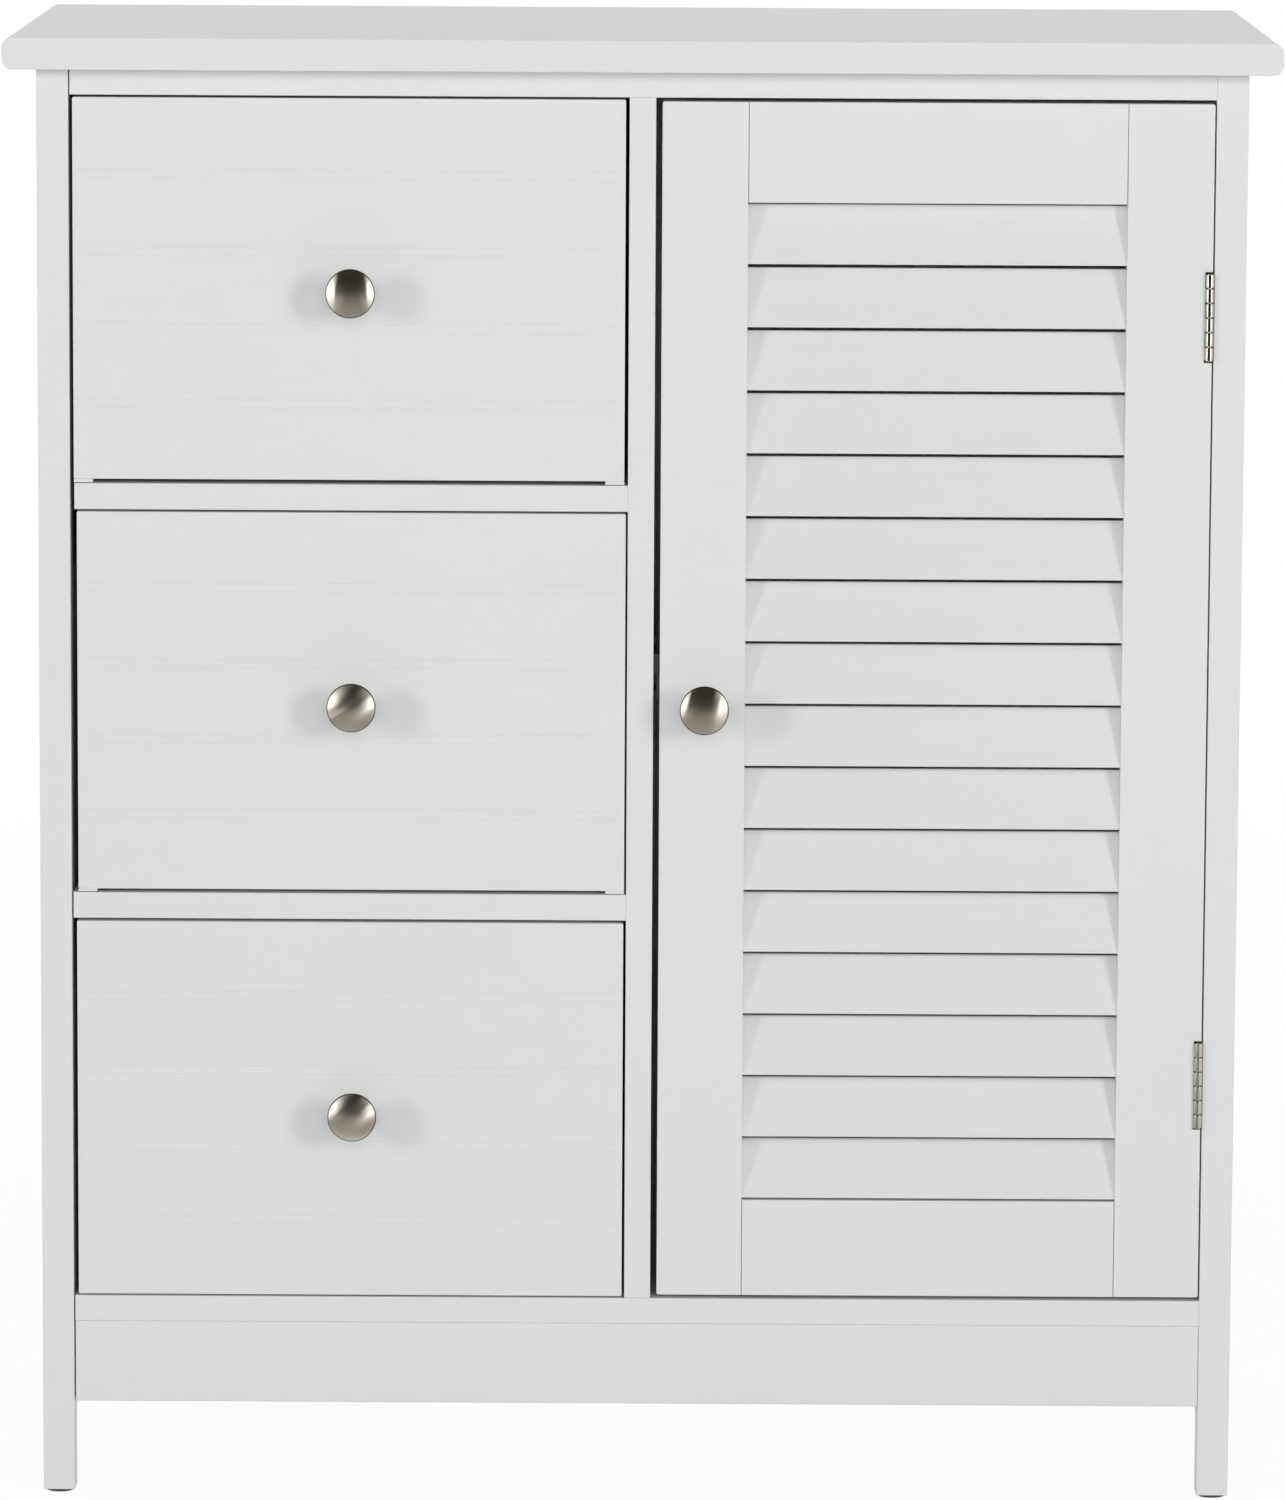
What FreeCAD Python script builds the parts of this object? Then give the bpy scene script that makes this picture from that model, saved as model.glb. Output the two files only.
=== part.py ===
import FreeCAD, Part

import math
import os
import re

import Sketcher
from FreeCAD import Placement, Rotation, Vector

# Floor-standing cabinet of white painted board: three drawers on the left, a bay with an adjustable
# shelf behind a louvred door on the right.  Millimetres, +X to the right, +Y to the back, +Z up.
# The origin lies on the floor, in the middle of the cabinet's width and of its depth over the knobs.

DRAWERS = ("upper", "middle", "lower")

SIZES = {
    # carcass
    "carcass_depth": 285,
    "side_thickness": 15,
    "divider_thickness": 12.5,
    "board_thickness": 12.5,
    "drawer_bay_width": 264,
    "door_bay_width": 263.5,
    "drawer_opening_height": 183.5,
    "rail_depth": 60,
    "board_end_gap": 0.6,
    "upper_shelf_end_gap": 2,
    "lower_shelf_end_gap": 0.7,
    "edge_ease": 0.5,
    # top panel
    "top_thickness": 15,
    "top_side_overhang": 15,
    "top_front_overhang": 15,
    "top_side_radius": 5,
    "top_front_ease": 1,
    # legs and plinth
    "leg_height": 45,
    "leg_depth": 16,
    "leg_arch_radius": 12,
    "plinth_height": 39.5,
    "plinth_thickness": 12.5,
    "plinth_setback": 1,
    "glide_thickness": 1.5,
    "glide_diameter": 14,
    "glide_nail_length": 12,
    # back panel and its nails
    "back_thickness": 3,
    "back_recess": 1,
    "back_rabbet": 7,
    "back_play": 0.4,
    "nail_diameter": 1.5,
    "nail_length": 16,
    "nail_head_diameter": 3.6,
    "nail_head_thickness": 0.6,
    "nail_inset": 30,
    # dowels
    "dowel_diameter": 6,
    "dowel_length": 30,
    "dowel_chamfer": 0.8,
    "dowel_seat": 10,
    "dowel_short_seat": 8,
    "dowel_inset": 30,
    "rail_dowel_inset": 15,
    "hole_clearance": 0.1,
    "hole_end_play": 0.5,
    # cam fittings
    "cam_diameter": 12,
    "cam_depth": 9,
    "cam_setback": 24,
    "cam_inset": 55,
    "rail_cam_inset": 42,
    "top_cam_inset": 80,
    "cam_slot_width": 4.6,
    "cam_recess_width": 1.4,
    "cam_recess_span": 8,
    "cam_recess_depth": 1.5,
    "cam_bolt_diameter": 4,
    "cam_bolt_seat": 10,
    # wood screws and knob screws
    "screw_diameter": 3,
    "screw_head_diameter": 5,
    "screw_head_height": 1,
    "short_screw_length": 12,
    "screw_tip_length": 2,
    "screw_recess_width": 0.7,
    "screw_recess_span": 3,
    "screw_recess_depth": 0.6,
    "screw_clearance": 0.05,
    "knob_screw_diameter": 4,
    "knob_screw_length": 22,
    "knob_screw_head_diameter": 8,
    "knob_screw_head_height": 2.4,
    # knobs
    "knob_diameter": 23.2,
    "knob_projection": 25,
    "knob_rim_thickness": 1.4,
    "knob_dome_height": 3.1,
    "knob_flare_height": 6,
    "knob_flare_radius": 12,
    "knob_neck_diameter": 9,
    "knob_base_diameter": 13,
    "knob_base_thickness": 2,
    # how far each drawer's knob stands to the right of its front's middle
    "upper_knob_shift": 1.3,
    "middle_knob_shift": 0.7,
    "lower_knob_shift": 1.6,
    # drawers
    "drawer_front_thickness": 15,
    "drawer_side_thickness": 9,
    "drawer_back_thickness": 9,
    "drawer_top_clearance": 30,
    "drawer_rear_clearance": 12,
    "drawer_bottom_thickness": 3,
    "drawer_bottom_lift": 8,
    "drawer_groove_depth": 4.5,
    "drawer_groove_play": 0.2,
    "drawer_band_count": 5,
    "band_groove_width": 3.2,
    "band_groove_depth": 0.3,
    "band_groove_inset": 3,
    "drawer_dowel_height": 35,
    "drawer_dowel_spacing": 80,
    "drawer_back_dowel_height": 50,
    "drawer_back_dowel_spacing": 60,
    "upper_left_gap": 1.8,
    "upper_right_gap": 1.7,
    "upper_bottom_gap": 2,
    "upper_top_gap": 1.1,
    "middle_left_gap": 3.1,
    "middle_right_gap": 0.9,
    "middle_bottom_gap": 1.7,
    "middle_top_gap": 1,
    "lower_left_gap": 2.3,
    "lower_right_gap": 1.2,
    "lower_bottom_gap": 0.8,
    "lower_top_gap": 1.4,
    # door
    "door_thickness": 15,
    "door_free_gap": 3,
    "door_hinge_gap": 0.7,
    "door_bottom_gap": 1.7,
    "door_top_gap": 1.8,
    "stile_width": 40.5,
    "door_top_rail_height": 47.4,
    "door_bottom_rail_height": 46.6,
    "joint_ease": 0.35,
    "door_dowel_inset": 12,
    "door_knob_inset": 21.2,
    # louvre slats
    "slat_count": 16,
    "slat_thickness": 5,
    "slat_tilt": 17,
    "slat_gap": 1.9,
    "slat_base_gap": 0.9,
    "slat_setback": 0.5,
    "slat_housing_depth": 5,
    "slat_end_play": 0.2,
    # butt hinges
    "hinge_height": 41.5,
    "hinge_knuckles": 6,
    "knuckle_gap": 0.25,
    "barrel_diameter": 4,
    "barrel_proud": 1,
    "hinge_pin_diameter": 2,
    "hinge_pin_clearance": 0.05,
    "leaf_thickness": 1,
    "leaf_width": 14,
    "leaf_wall_gap": 0.2,
    "leaf_knuckle_relief": 0.4,
    "leaf_screw_offset": 8.5,
    "leaf_screw_inset": 10,
    "hinge_notch_margin": 0.75,
    "upper_hinge_inset": 100.5,
    "lower_hinge_inset": 103.5,
    # adjustable shelf and its pins
    "shelf_setback": 60,
    "shelf_play": 1.2,
    "shelf_pin_diameter": 5,
    "shelf_pin_seat": 8,
    "shelf_pin_reach": 7,
    "shelf_pin_collar_diameter": 8,
    "shelf_pin_collar_thickness": 0.8,
    "shelf_pin_inset": 45,
    "shelf_pin_spacing": 32,
    "shelf_pin_levels": 3,
    "shelf_pin_lowest": 248,
    # magnetic catch
    "catch_level": 305,
    "catch_height": 9,
    "catch_width": 15,
    "catch_case_depth": 16,
    "catch_flange_depth": 20,
    "catch_flange_thickness": 2.5,
    "catch_screw_spacing": 10,
    "catch_gap": 0.3,
    "magnet_width": 9,
    "magnet_height": 6,
    "magnet_depth": 12,
    "magnet_proud": 1,
    "magnet_play": 0.1,
    "strike_width": 12,
    "strike_height": 34,
    "strike_thickness": 1,
    "strike_screw_spacing": 22,
}

PLACES = {
    # heights above the floor
    "bottom_board_z": "leg_height + plinth_height",
    "bay_floor": "bottom_board_z + board_thickness",
    "lower_floor": "bay_floor",
    "lower_shelf_z": "lower_floor + drawer_opening_height",
    "middle_floor": "lower_shelf_z + board_thickness",
    "upper_shelf_z": "middle_floor + drawer_opening_height",
    "upper_floor": "upper_shelf_z + board_thickness",
    "bay_ceiling": "upper_floor + drawer_opening_height",
    "top_panel_z": "bay_ceiling + board_thickness",
    "half_board": "board_thickness / 2",
    "side_height": "top_panel_z - glide_thickness",
    "bay_height": "bay_ceiling - bay_floor",
    # widths and sideways places
    "inner_width": "drawer_bay_width + divider_thickness + door_bay_width",
    "carcass_width": "inner_width + 2 * side_thickness",
    "top_width": "carcass_width + 2 * top_side_overhang",
    "inner_left": "-inner_width / 2",
    "inner_right": "inner_width / 2",
    "divider_left": "inner_left + drawer_bay_width",
    "divider_right": "divider_left + divider_thickness",
    "full_board_width": "inner_width - board_end_gap",
    "upper_shelf_width": "drawer_bay_width - upper_shelf_end_gap",
    "lower_shelf_width": "drawer_bay_width - lower_shelf_end_gap",
    # depths and front-to-back places
    "carcass_front": "(knob_projection - carcass_depth) / 2",
    "board_depth": "carcass_depth - back_thickness - back_recess",
    "rear_dowel_y": "board_depth - dowel_inset",
    "rear_cam_y": "board_depth - cam_inset",
    "rear_top_cam_y": "board_depth - top_cam_inset",
    "back_rail_y": "board_depth - rail_depth",
    "plinth_dowel_y": "plinth_setback + plinth_thickness / 2",
    "plinth_dowel_z": "leg_height + plinth_height / 2",
    "rear_leg_y": "carcass_depth - leg_depth",
    "back_height": "top_panel_z - bottom_board_z",
    "back_nail_step": "(back_height - 2 * nail_inset) / 3",
    "back_nail_x": "back_rabbet / 2",
    "nail_grip": "nail_length - back_thickness",
    # joints in wood
    "dowel_hole_radius": "dowel_diameter / 2 + hole_clearance",
    "dowel_hole_depth": "dowel_seat + hole_end_play",
    "dowel_short_hole_depth": "dowel_short_seat + hole_end_play",
    "dowel_board_hole": "dowel_length - dowel_seat + hole_end_play",
    "dowel_long_hole": "dowel_length - dowel_short_seat + hole_end_play",
    "cam_hole_radius": "cam_diameter / 2 + hole_clearance",
    "cam_hole_depth": "cam_depth + hole_clearance",
    "cam_bolt_hole_radius": "cam_bolt_diameter / 2 + hole_clearance",
    "cam_bolt_hole_depth": "cam_bolt_seat + hole_end_play",
    "cam_bolt_length": "cam_bolt_seat + cam_setback",
    "screw_hole_radius": "screw_diameter / 2 + screw_clearance",
    "screw_sink_radius": "screw_head_diameter / 2 + screw_clearance",
    "nail_hole_radius": "nail_diameter / 2 + screw_clearance",
    "knob_screw_hole_radius": "knob_screw_diameter / 2 + hole_clearance",
    # knobs
    "knob_rim_top": "knob_projection - knob_dome_height",
    "knob_rim_bottom": "knob_rim_top - knob_rim_thickness",
    "knob_dome_radius": "((knob_diameter / 2) ^ 2 + knob_dome_height ^ 2) / (2 * knob_dome_height)",
    # drawers
    "drawer_side_length": "board_depth - drawer_front_thickness - drawer_rear_clearance",
    "drawer_side_height": "drawer_opening_height - drawer_top_clearance",
    "drawer_side_y": "carcass_front + drawer_front_thickness",
    "drawer_back_lift": "drawer_bottom_lift + drawer_bottom_thickness",
    "drawer_back_height": "drawer_side_height - drawer_back_lift",
    "drawer_back_y": "drawer_side_length - drawer_back_thickness",
    "drawer_tongue": "drawer_groove_depth - drawer_groove_play",
    "drawer_bottom_y": "drawer_side_y - drawer_tongue",
    "drawer_bottom_length": "drawer_side_length + drawer_tongue",
    "drawer_upper_dowel": "drawer_dowel_height + drawer_dowel_spacing",
    "drawer_upper_back_dowel": "drawer_back_dowel_height + drawer_back_dowel_spacing",
    "drawer_back_middle": "drawer_back_y + drawer_back_thickness / 2",
    # door
    "door_left": "divider_right + door_free_gap",
    "door_right": "inner_right - door_hinge_gap",
    "door_bottom": "bay_floor + door_bottom_gap",
    "door_top": "bay_ceiling - door_top_gap",
    "door_height": "door_top - door_bottom",
    "right_stile_left": "door_right - stile_width",
    "door_rail_left": "door_left + stile_width",
    "door_rail_width": "right_stile_left - door_rail_left",
    "top_rail_bottom": "door_top - door_top_rail_height",
    "louvre_height": "door_height - door_top_rail_height - door_bottom_rail_height",
    "door_knob_x": "door_left + door_knob_inset",
    "door_knob_z": "door_bottom + door_height / 2",
    # louvre slats, as seen from the side
    "slat_pitch": "louvre_height / slat_count",
    "slat_rise": "slat_pitch - slat_gap",
    "slat_run": "slat_rise * tan(slat_tilt)",
    "slat_back_rise": "slat_rise - slat_thickness * sin(slat_tilt)",
    "slat_back_run": "slat_run + slat_thickness * cos(slat_tilt)",
    "slat_foot": "slat_thickness / cos(slat_tilt)",
    "slat_base": "door_bottom_rail_height + slat_base_gap",
    "slat_tenon": "slat_housing_depth - slat_end_play",
    # hinges
    "barrel_radius": "barrel_diameter / 2",
    "leaf_outer": "barrel_radius + leaf_wall_gap",
    "leaf_inner": "leaf_outer - leaf_thickness",
    "leaf_start": "barrel_radius + leaf_knuckle_relief",
    "knuckle_pitch": "hinge_height / hinge_knuckles",
    "hinge_axis_x": "inner_right - leaf_outer",
    "hinge_axis_y": "carcass_front - barrel_proud",
    "upper_hinge_z": "door_top - upper_hinge_inset - hinge_height / 2",
    "lower_hinge_z": "door_bottom + lower_hinge_inset - hinge_height / 2",
    "leaf_screw_y": "leaf_screw_offset - barrel_proud",
    "leaf_upper_screw": "hinge_height - leaf_screw_inset",
    "hinge_notch_floor": "hinge_axis_x - leaf_outer",
    "hinge_notch_height": "hinge_height + 2 * hinge_notch_margin",
    # adjustable shelf
    "front_pin_y": "shelf_setback + shelf_pin_inset",
    "rear_pin_y": "board_depth - shelf_pin_inset",
    "shelf_pin_z": "bay_floor + shelf_pin_lowest + shelf_pin_spacing",
    "shelf_pin_hole_radius": "shelf_pin_diameter / 2 + hole_clearance",
    "shelf_pin_hole_depth": "shelf_pin_seat + hole_end_play",
    "bay_shelf_z": "shelf_pin_z + shelf_pin_diameter / 2",
    "bay_shelf_depth": "board_depth - shelf_setback - shelf_play",
    # magnetic catch
    "catch_z": "bay_floor + catch_level",
    "catch_y": "door_thickness + strike_thickness + catch_gap + magnet_proud",
    "catch_length": "catch_case_depth + catch_flange_depth",
    "catch_screw_y": "catch_case_depth + (catch_flange_depth - catch_screw_spacing) / 2",
    "magnet_x": "(catch_width - magnet_width) / 2",
    "strike_x": "divider_right + catch_width / 2 - strike_width / 2 + catch_flange_thickness",
}

for drawer in DRAWERS:
    PLACES[f"{drawer}_left"] = f"inner_left + {drawer}_left_gap"
    PLACES[f"{drawer}_width"] = f"drawer_bay_width - {drawer}_left_gap - {drawer}_right_gap"
    PLACES[f"{drawer}_right"] = f"{drawer}_left + {drawer}_width"
    PLACES[f"{drawer}_front_z"] = f"{drawer}_floor + {drawer}_bottom_gap"
    PLACES[f"{drawer}_front_height"] = f"drawer_opening_height - {drawer}_bottom_gap - {drawer}_top_gap"
    PLACES[f"{drawer}_band"] = f"{drawer}_front_height / drawer_band_count"

OWNER = {alias: "Sizes" for alias in SIZES}
doc = FreeCAD.newDocument("louvred_door_cabinet")
pieces = []


def bound(text):
    """An expression with the sheet's name in front of each alias that it uses."""
    return re.sub(r"[a-z][a-z0-9_]*", lambda word: f"{OWNER[word[0]]}.{word[0]}" if word[0] in OWNER
                  else word[0], text)


def fill_sheet(name, cells):
    """A spreadsheet with one named cell per row."""
    sheet = doc.addObject("Spreadsheet::Sheet", name)
    for row, (alias, content) in enumerate(cells.items(), 1):
        sheet.set(f"A{row}", alias)
        sheet.set(f"B{row}", str(content))
        sheet.setAlias(f"B{row}", alias)
    doc.recompute()
    return sheet


sizes = fill_sheet("Sizes", SIZES)
fill_sheet("Places", {alias: "=" + bound(formula) for alias, formula in PLACES.items()})
OWNER.update({alias: "Places" for alias in PLACES})


def number(text):
    """The value that an expression has now."""
    return float(sizes.evalExpression(bound(text)))


# ---------------------------------------------------------------- sketches and features

PLANE_NORMAL = {"XY": 1, "YZ": 1, "XZ": -1}


def new_piece(label, at=("0", "0", "0"), facing=None):
    """A body whose origin is at the given place, its Z axis turned to the facing direction."""
    body = doc.addObject("PartDesign::Body", label)
    body.Label = label
    body.AllowCompound = True
    if facing:
        body.Placement = Placement(Vector(), turned_to(facing))
    for axis, place in zip("xyz", at):
        body.setExpression(f"Placement.Base.{axis}", bound(place))
    pieces.append(body)
    return body


def turned_to(drive, slot=None):
    """The turn that takes +Z to the drive direction and, where a slot is given, +X to the slot's."""
    if slot is None:
        return Rotation(Vector(0, 0, 1), Vector(*drive))
    return Rotation(Vector(*slot), Vector(), Vector(*drive), "ZXY")


def origin_plane(body, plane):
    return next(item for item in body.Origin.OriginFeatures if item.Role == f"{plane}_Plane")


def sketch_on(body, plane, level):
    """An empty sketch on one of the body's origin planes, moved to a level along the plane's axis."""
    sketch = body.newObject("Sketcher::SketchObject", "Sketch")
    sketch.AttachmentSupport = (origin_plane(body, plane), [""])
    sketch.MapMode = "FlatFace"
    sign = "" if PLANE_NORMAL[plane] > 0 else "-"
    sketch.setExpression("AttachmentOffset.Base.z", bound(f"{sign}({level})"))
    return sketch


def hold(sketch, kind, where, expression):
    """A constraint whose value is bound to an expression."""
    index = sketch.addConstraint(Sketcher.Constraint(kind, *where, number(expression)))
    sketch.setExpression(f"Constraints[{index}]", bound(expression))


def draw_circle(sketch, x, y, radius):
    centre = Vector(number(x), number(y), 0)
    index = sketch.addGeometry(Part.Circle(centre, Vector(0, 0, 1), number(radius)))
    hold(sketch, "DistanceX", (-1, 1, index, 3), x)
    hold(sketch, "DistanceY", (-1, 1, index, 3), y)
    hold(sketch, "Radius", (index,), radius)


def arc_between(start, finish, radius, turn):
    """The shorter arc from start to finish; turn is 1 to the left and -1 to the right."""
    chord = finish - start
    rise = math.sqrt(max(radius ** 2 - (chord.Length / 2) ** 2, 0))
    left = Vector(-chord.y, chord.x, 0).normalize()
    centre = (start + finish) * 0.5 + left * rise * turn
    first, last = (start, finish) if turn > 0 else (finish, start)
    angles = [math.atan2(point.y - centre.y, point.x - centre.x) for point in (first, last)]
    return Part.ArcOfCircle(Part.Circle(centre, Vector(0, 0, 1), radius), *angles)


def draw_outline(sketch, path):
    """A closed outline through the path's points.  A point may also hold the radius and the turn of the
    arc that ends there."""
    corners = [Vector(number(step[0]), number(step[1]), 0) for step in path]
    ends = []
    for index, step in enumerate(path):
        start, finish = corners[index - 1], corners[index]
        if len(step) == 4:
            arc = arc_between(start, finish, number(step[2]), step[3])
            edge = sketch.addGeometry(arc)
            ends.append((edge, 1, 2) if step[3] > 0 else (edge, 2, 1))
            hold(sketch, "Radius", (edge,), step[2])
        else:
            edge = sketch.addGeometry(Part.LineSegment(start, finish))
            ends.append((edge, 1, 2))
    for index, (edge, first, last) in enumerate(ends):
        following = ends[(index + 1) % len(ends)]
        sketch.addConstraint(Sketcher.Constraint("Coincident", edge, last, following[0], following[1]))
        hold(sketch, "DistanceX", (-1, 1, edge, last), path[index][0])
        hold(sketch, "DistanceY", (-1, 1, edge, last), path[index][1])


def draw(sketch, shapes):
    """Circles are (x, y, radius); any other shape is an outline's list of points."""
    for shape in shapes:
        if isinstance(shape, tuple):
            draw_circle(sketch, *shape)
        else:
            draw_outline(sketch, shape)


def rectangle(x0, y0, x1, y1):
    return [(x0, y0), (x1, y0), (x1, y1), (x0, y1)]


def holes(radius, places):
    return [(x, y, radius) for x, y in places]


def pad(body, plane, level, toward, length, shapes):
    """Material from the shapes drawn at a level, towards the plus or minus end of the plane's axis."""
    sketch = sketch_on(body, plane, level)
    draw(sketch, shapes)
    feature = body.newObject("PartDesign::Pad", "Pad")
    feature.Profile = (sketch, [""])
    feature.Reversed = toward != PLANE_NORMAL[plane]
    feature.setExpression("Length", bound(length))
    doc.recompute()
    return feature


def cut(body, plane, level, toward, depth, shapes):
    """A pocket from a level towards the plus or minus end of the plane's axis."""
    before = body.Tip.Shape.Volume
    sketch = sketch_on(body, plane, level)
    draw(sketch, shapes)
    feature = body.newObject("PartDesign::Pocket", "Pocket")
    feature.Profile = (sketch, [""])
    feature.Reversed = toward == PLANE_NORMAL[plane]
    feature.setExpression("Length", bound(depth))
    doc.recompute()
    if not feature.Shape.Volume < before:
        raise RuntimeError(f"{body.Label}: a pocket cuts nothing")
    return feature


def lathe(body, path):
    """A turned shape about the body's Z axis; the path's points are (radius, height)."""
    sketch = sketch_on(body, "XZ", "0")
    draw_outline(sketch, path)
    feature = body.newObject("PartDesign::Revolution", "Revolution")
    feature.Profile = (sketch, [""])
    feature.ReferenceAxis = (sketch, ["V_Axis"])
    feature.Angle = 360
    doc.recompute()
    return feature


def countersink(body, plane, level, toward, places):
    """Screw holes right through a leaf or flange, with room for the screw's head at the level."""
    before = body.Tip.Shape.Volume
    sketch = sketch_on(body, plane, level)
    draw(sketch, holes("screw_hole_radius", places))
    doc.recompute()
    feature = body.newObject("PartDesign::Hole", "Hole")
    feature.Profile = (sketch, [""])
    doc.recompute()
    feature.Reversed = toward == PLANE_NORMAL[plane]
    feature.DepthType = "ThroughAll"
    feature.HoleCutType = "Countersink"
    feature.HoleCutCustomValues = True
    feature.setExpression("Diameter", bound("2 * screw_hole_radius"))
    feature.setExpression("HoleCutDiameter", bound("2 * screw_sink_radius"))
    feature.setExpression(
        "HoleCutCountersinkAngle",
        bound("2 * atan((screw_head_diameter - screw_diameter) / 2 / screw_head_height)"))
    doc.recompute()
    if not feature.Shape.Volume < before:
        raise RuntimeError(f"{body.Label}: a screw hole cuts nothing")
    return feature


def repeat(body, features, axis, pitch, count):
    """Copies of features in a row along one of the body's axes."""
    pattern = body.newObject("PartDesign::LinearPattern", "LinearPattern")
    pattern.Originals = features
    direction = next(item for item in body.Origin.OriginFeatures if item.Role == f"{axis}_Axis")
    pattern.Direction = (direction, [""])
    pattern.Mode = "Spacing"
    pattern.setExpression("Offset", bound(pitch))
    pattern.setExpression("Occurrences", bound(count))
    body.Tip = pattern
    doc.recompute()
    return pattern


def round_edges(body, radius, wanted):
    """A fillet on the edges whose bounding box is wanted."""
    base = body.Tip
    names = [f"Edge{index}" for index, edge in enumerate(base.Shape.Edges, 1) if wanted(edge.BoundBox)]
    feature = body.newObject("PartDesign::Fillet", "Fillet")
    feature.Base = (base, names)
    feature.setExpression("Radius", bound(radius))
    doc.recompute()
    return feature


def same(first, second):
    return abs(first - second) < 1e-4


def on_front(box):
    return same(box.YMin, 0) and same(box.YMax, 0)


def board(label, at, wide, deep, tall, ease="edge_ease"):
    """A rectangular board, its low front left corner at the body's origin and its front edges eased."""
    body = new_piece(label, at)
    pad(body, "XY", "0", 1, tall, [rectangle("0", "0", wide, deep)])
    if ease:
        round_edges(body, ease, on_front)
    return body


def group(label, master, places):
    """Separate copies of a fastener.  A place is (x, y, z, drive direction), with the direction of the
    slot as a fifth value where that matters."""
    copies = []
    for x, y, z, *directions in places:
        copy = doc.addObject("App::Link", f"{label}_copy")
        copy.LinkedObject = master
        copy.Placement = Placement(Vector(), turned_to(*directions))
        for axis, place in zip("xyz", (x, y, z)):
            copy.setExpression(f"Placement.Base.{axis}", bound(place))
        copies.append(copy)
    compound = doc.addObject("Part::Compound", label)
    compound.Label = label
    compound.Links = copies
    pieces.append(compound)
    return compound


def master_of(label):
    """A body that is only copied from, and isn't a piece by itself."""
    body = new_piece(label)
    pieces.remove(body)
    return body


LEFT, RIGHT = (-1, 0, 0), (1, 0, 0)
FORWARD, BACKWARD = (0, -1, 0), (0, 1, 0)
DOWN, UP = (0, 0, -1), (0, 0, 1)


def behind_front(depth):
    """The cabinet's Y of something at a depth behind the carcass's front edges."""
    return f"carcass_front + {depth}"


# ---------------------------------------------------------------- fasteners that are used many times

def cross_recess(body, level, width, span, depth):
    """A screwdriver's cross in the head that faces down the body's Z axis."""
    for half_x, half_y in ((span, width), (width, span)):
        shape = rectangle(f"-{half_x} / 2", f"-{half_y} / 2", f"{half_x} / 2", f"{half_y} / 2")
        cut(body, "XY", level, 1, depth, [shape])


def dowel_master():
    body = master_of("dowel_master")
    lathe(body, [
        ("0", "0"),
        ("dowel_diameter / 2 - dowel_chamfer", "0"),
        ("dowel_diameter / 2", "dowel_chamfer"),
        ("dowel_diameter / 2", "dowel_length - dowel_chamfer"),
        ("dowel_diameter / 2 - dowel_chamfer", "dowel_length"),
        ("0", "dowel_length"),
    ])
    return body


def short_screw_master():
    """A countersunk wood screw: the head's flat face at the origin, the tip up the Z axis."""
    body = master_of("short_screw_master")
    lathe(body, [
        ("0", "0"),
        ("screw_head_diameter / 2", "0"),
        ("screw_diameter / 2", "screw_head_height"),
        ("screw_diameter / 2", "short_screw_length - screw_tip_length"),
        ("0", "short_screw_length"),
    ])
    cross_recess(body, "0", "screw_recess_width", "screw_recess_span", "screw_recess_depth")
    return body


def knob_screw_master():
    """A pan-head machine screw: the head's seat at the origin, the shank up the Z axis."""
    body = master_of("knob_screw_master")
    lathe(body, [
        ("0", "-knob_screw_head_height"),
        ("knob_screw_head_diameter / 2 - knob_screw_head_height / 2", "-knob_screw_head_height"),
        ("knob_screw_head_diameter / 2", "-knob_screw_head_height / 2", "knob_screw_head_height / 2", 1),
        ("knob_screw_head_diameter / 2", "0"),
        ("knob_screw_diameter / 2", "0"),
        ("knob_screw_diameter / 2", "knob_screw_length"),
        ("0", "knob_screw_length"),
    ])
    cross_recess(body, "-knob_screw_head_height", "screw_recess_width * 1.4", "screw_recess_span * 1.4",
                 "screw_recess_depth * 1.5")
    return body


def cam_master():
    """A cam lock: its slotted face at the origin, its body up the Z axis, its mouth towards +X."""
    body = master_of("cam_master")
    pad(body, "XY", "0", 1, "cam_depth", [("0", "0", "cam_diameter / 2")])
    mouth = rectangle("-cam_slot_width / 2", "half_board - cam_slot_width / 2",
                      "cam_slot_width / 2", "half_board + cam_slot_width / 2")
    cut(body, "YZ", "-cam_slot_width / 2", 1, "cam_diameter", [mouth])
    cross_recess(body, "0", "cam_recess_width", "cam_recess_span", "cam_recess_depth")
    return body


def cam_bolt_master():
    """A cam's bolt, its threaded end at the origin and its head up the Z axis."""
    body = master_of("cam_bolt_master")
    lathe(body, [
        ("0", "0"),
        ("cam_bolt_diameter / 2", "0"),
        ("cam_bolt_diameter / 2", "cam_bolt_length"),
        ("0", "cam_bolt_length"),
    ])
    return body


def nail_master():
    """A panel pin, its head's underside at the origin and its point up the Z axis."""
    body = master_of("nail_master")
    lathe(body, [
        ("0", "-nail_head_thickness"),
        ("nail_head_diameter / 2", "-nail_head_thickness"),
        ("nail_head_diameter / 2", "0"),
        ("nail_diameter / 2", "0"),
        ("nail_diameter / 2", "nail_length - nail_diameter"),
        ("0", "nail_length"),
    ])
    return body


dowel = dowel_master()
short_screw = short_screw_master()
knob_screw = knob_screw_master()
cam = cam_master()
cam_bolt = cam_bolt_master()
nail = nail_master()


# ---------------------------------------------------------------- carcass

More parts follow.
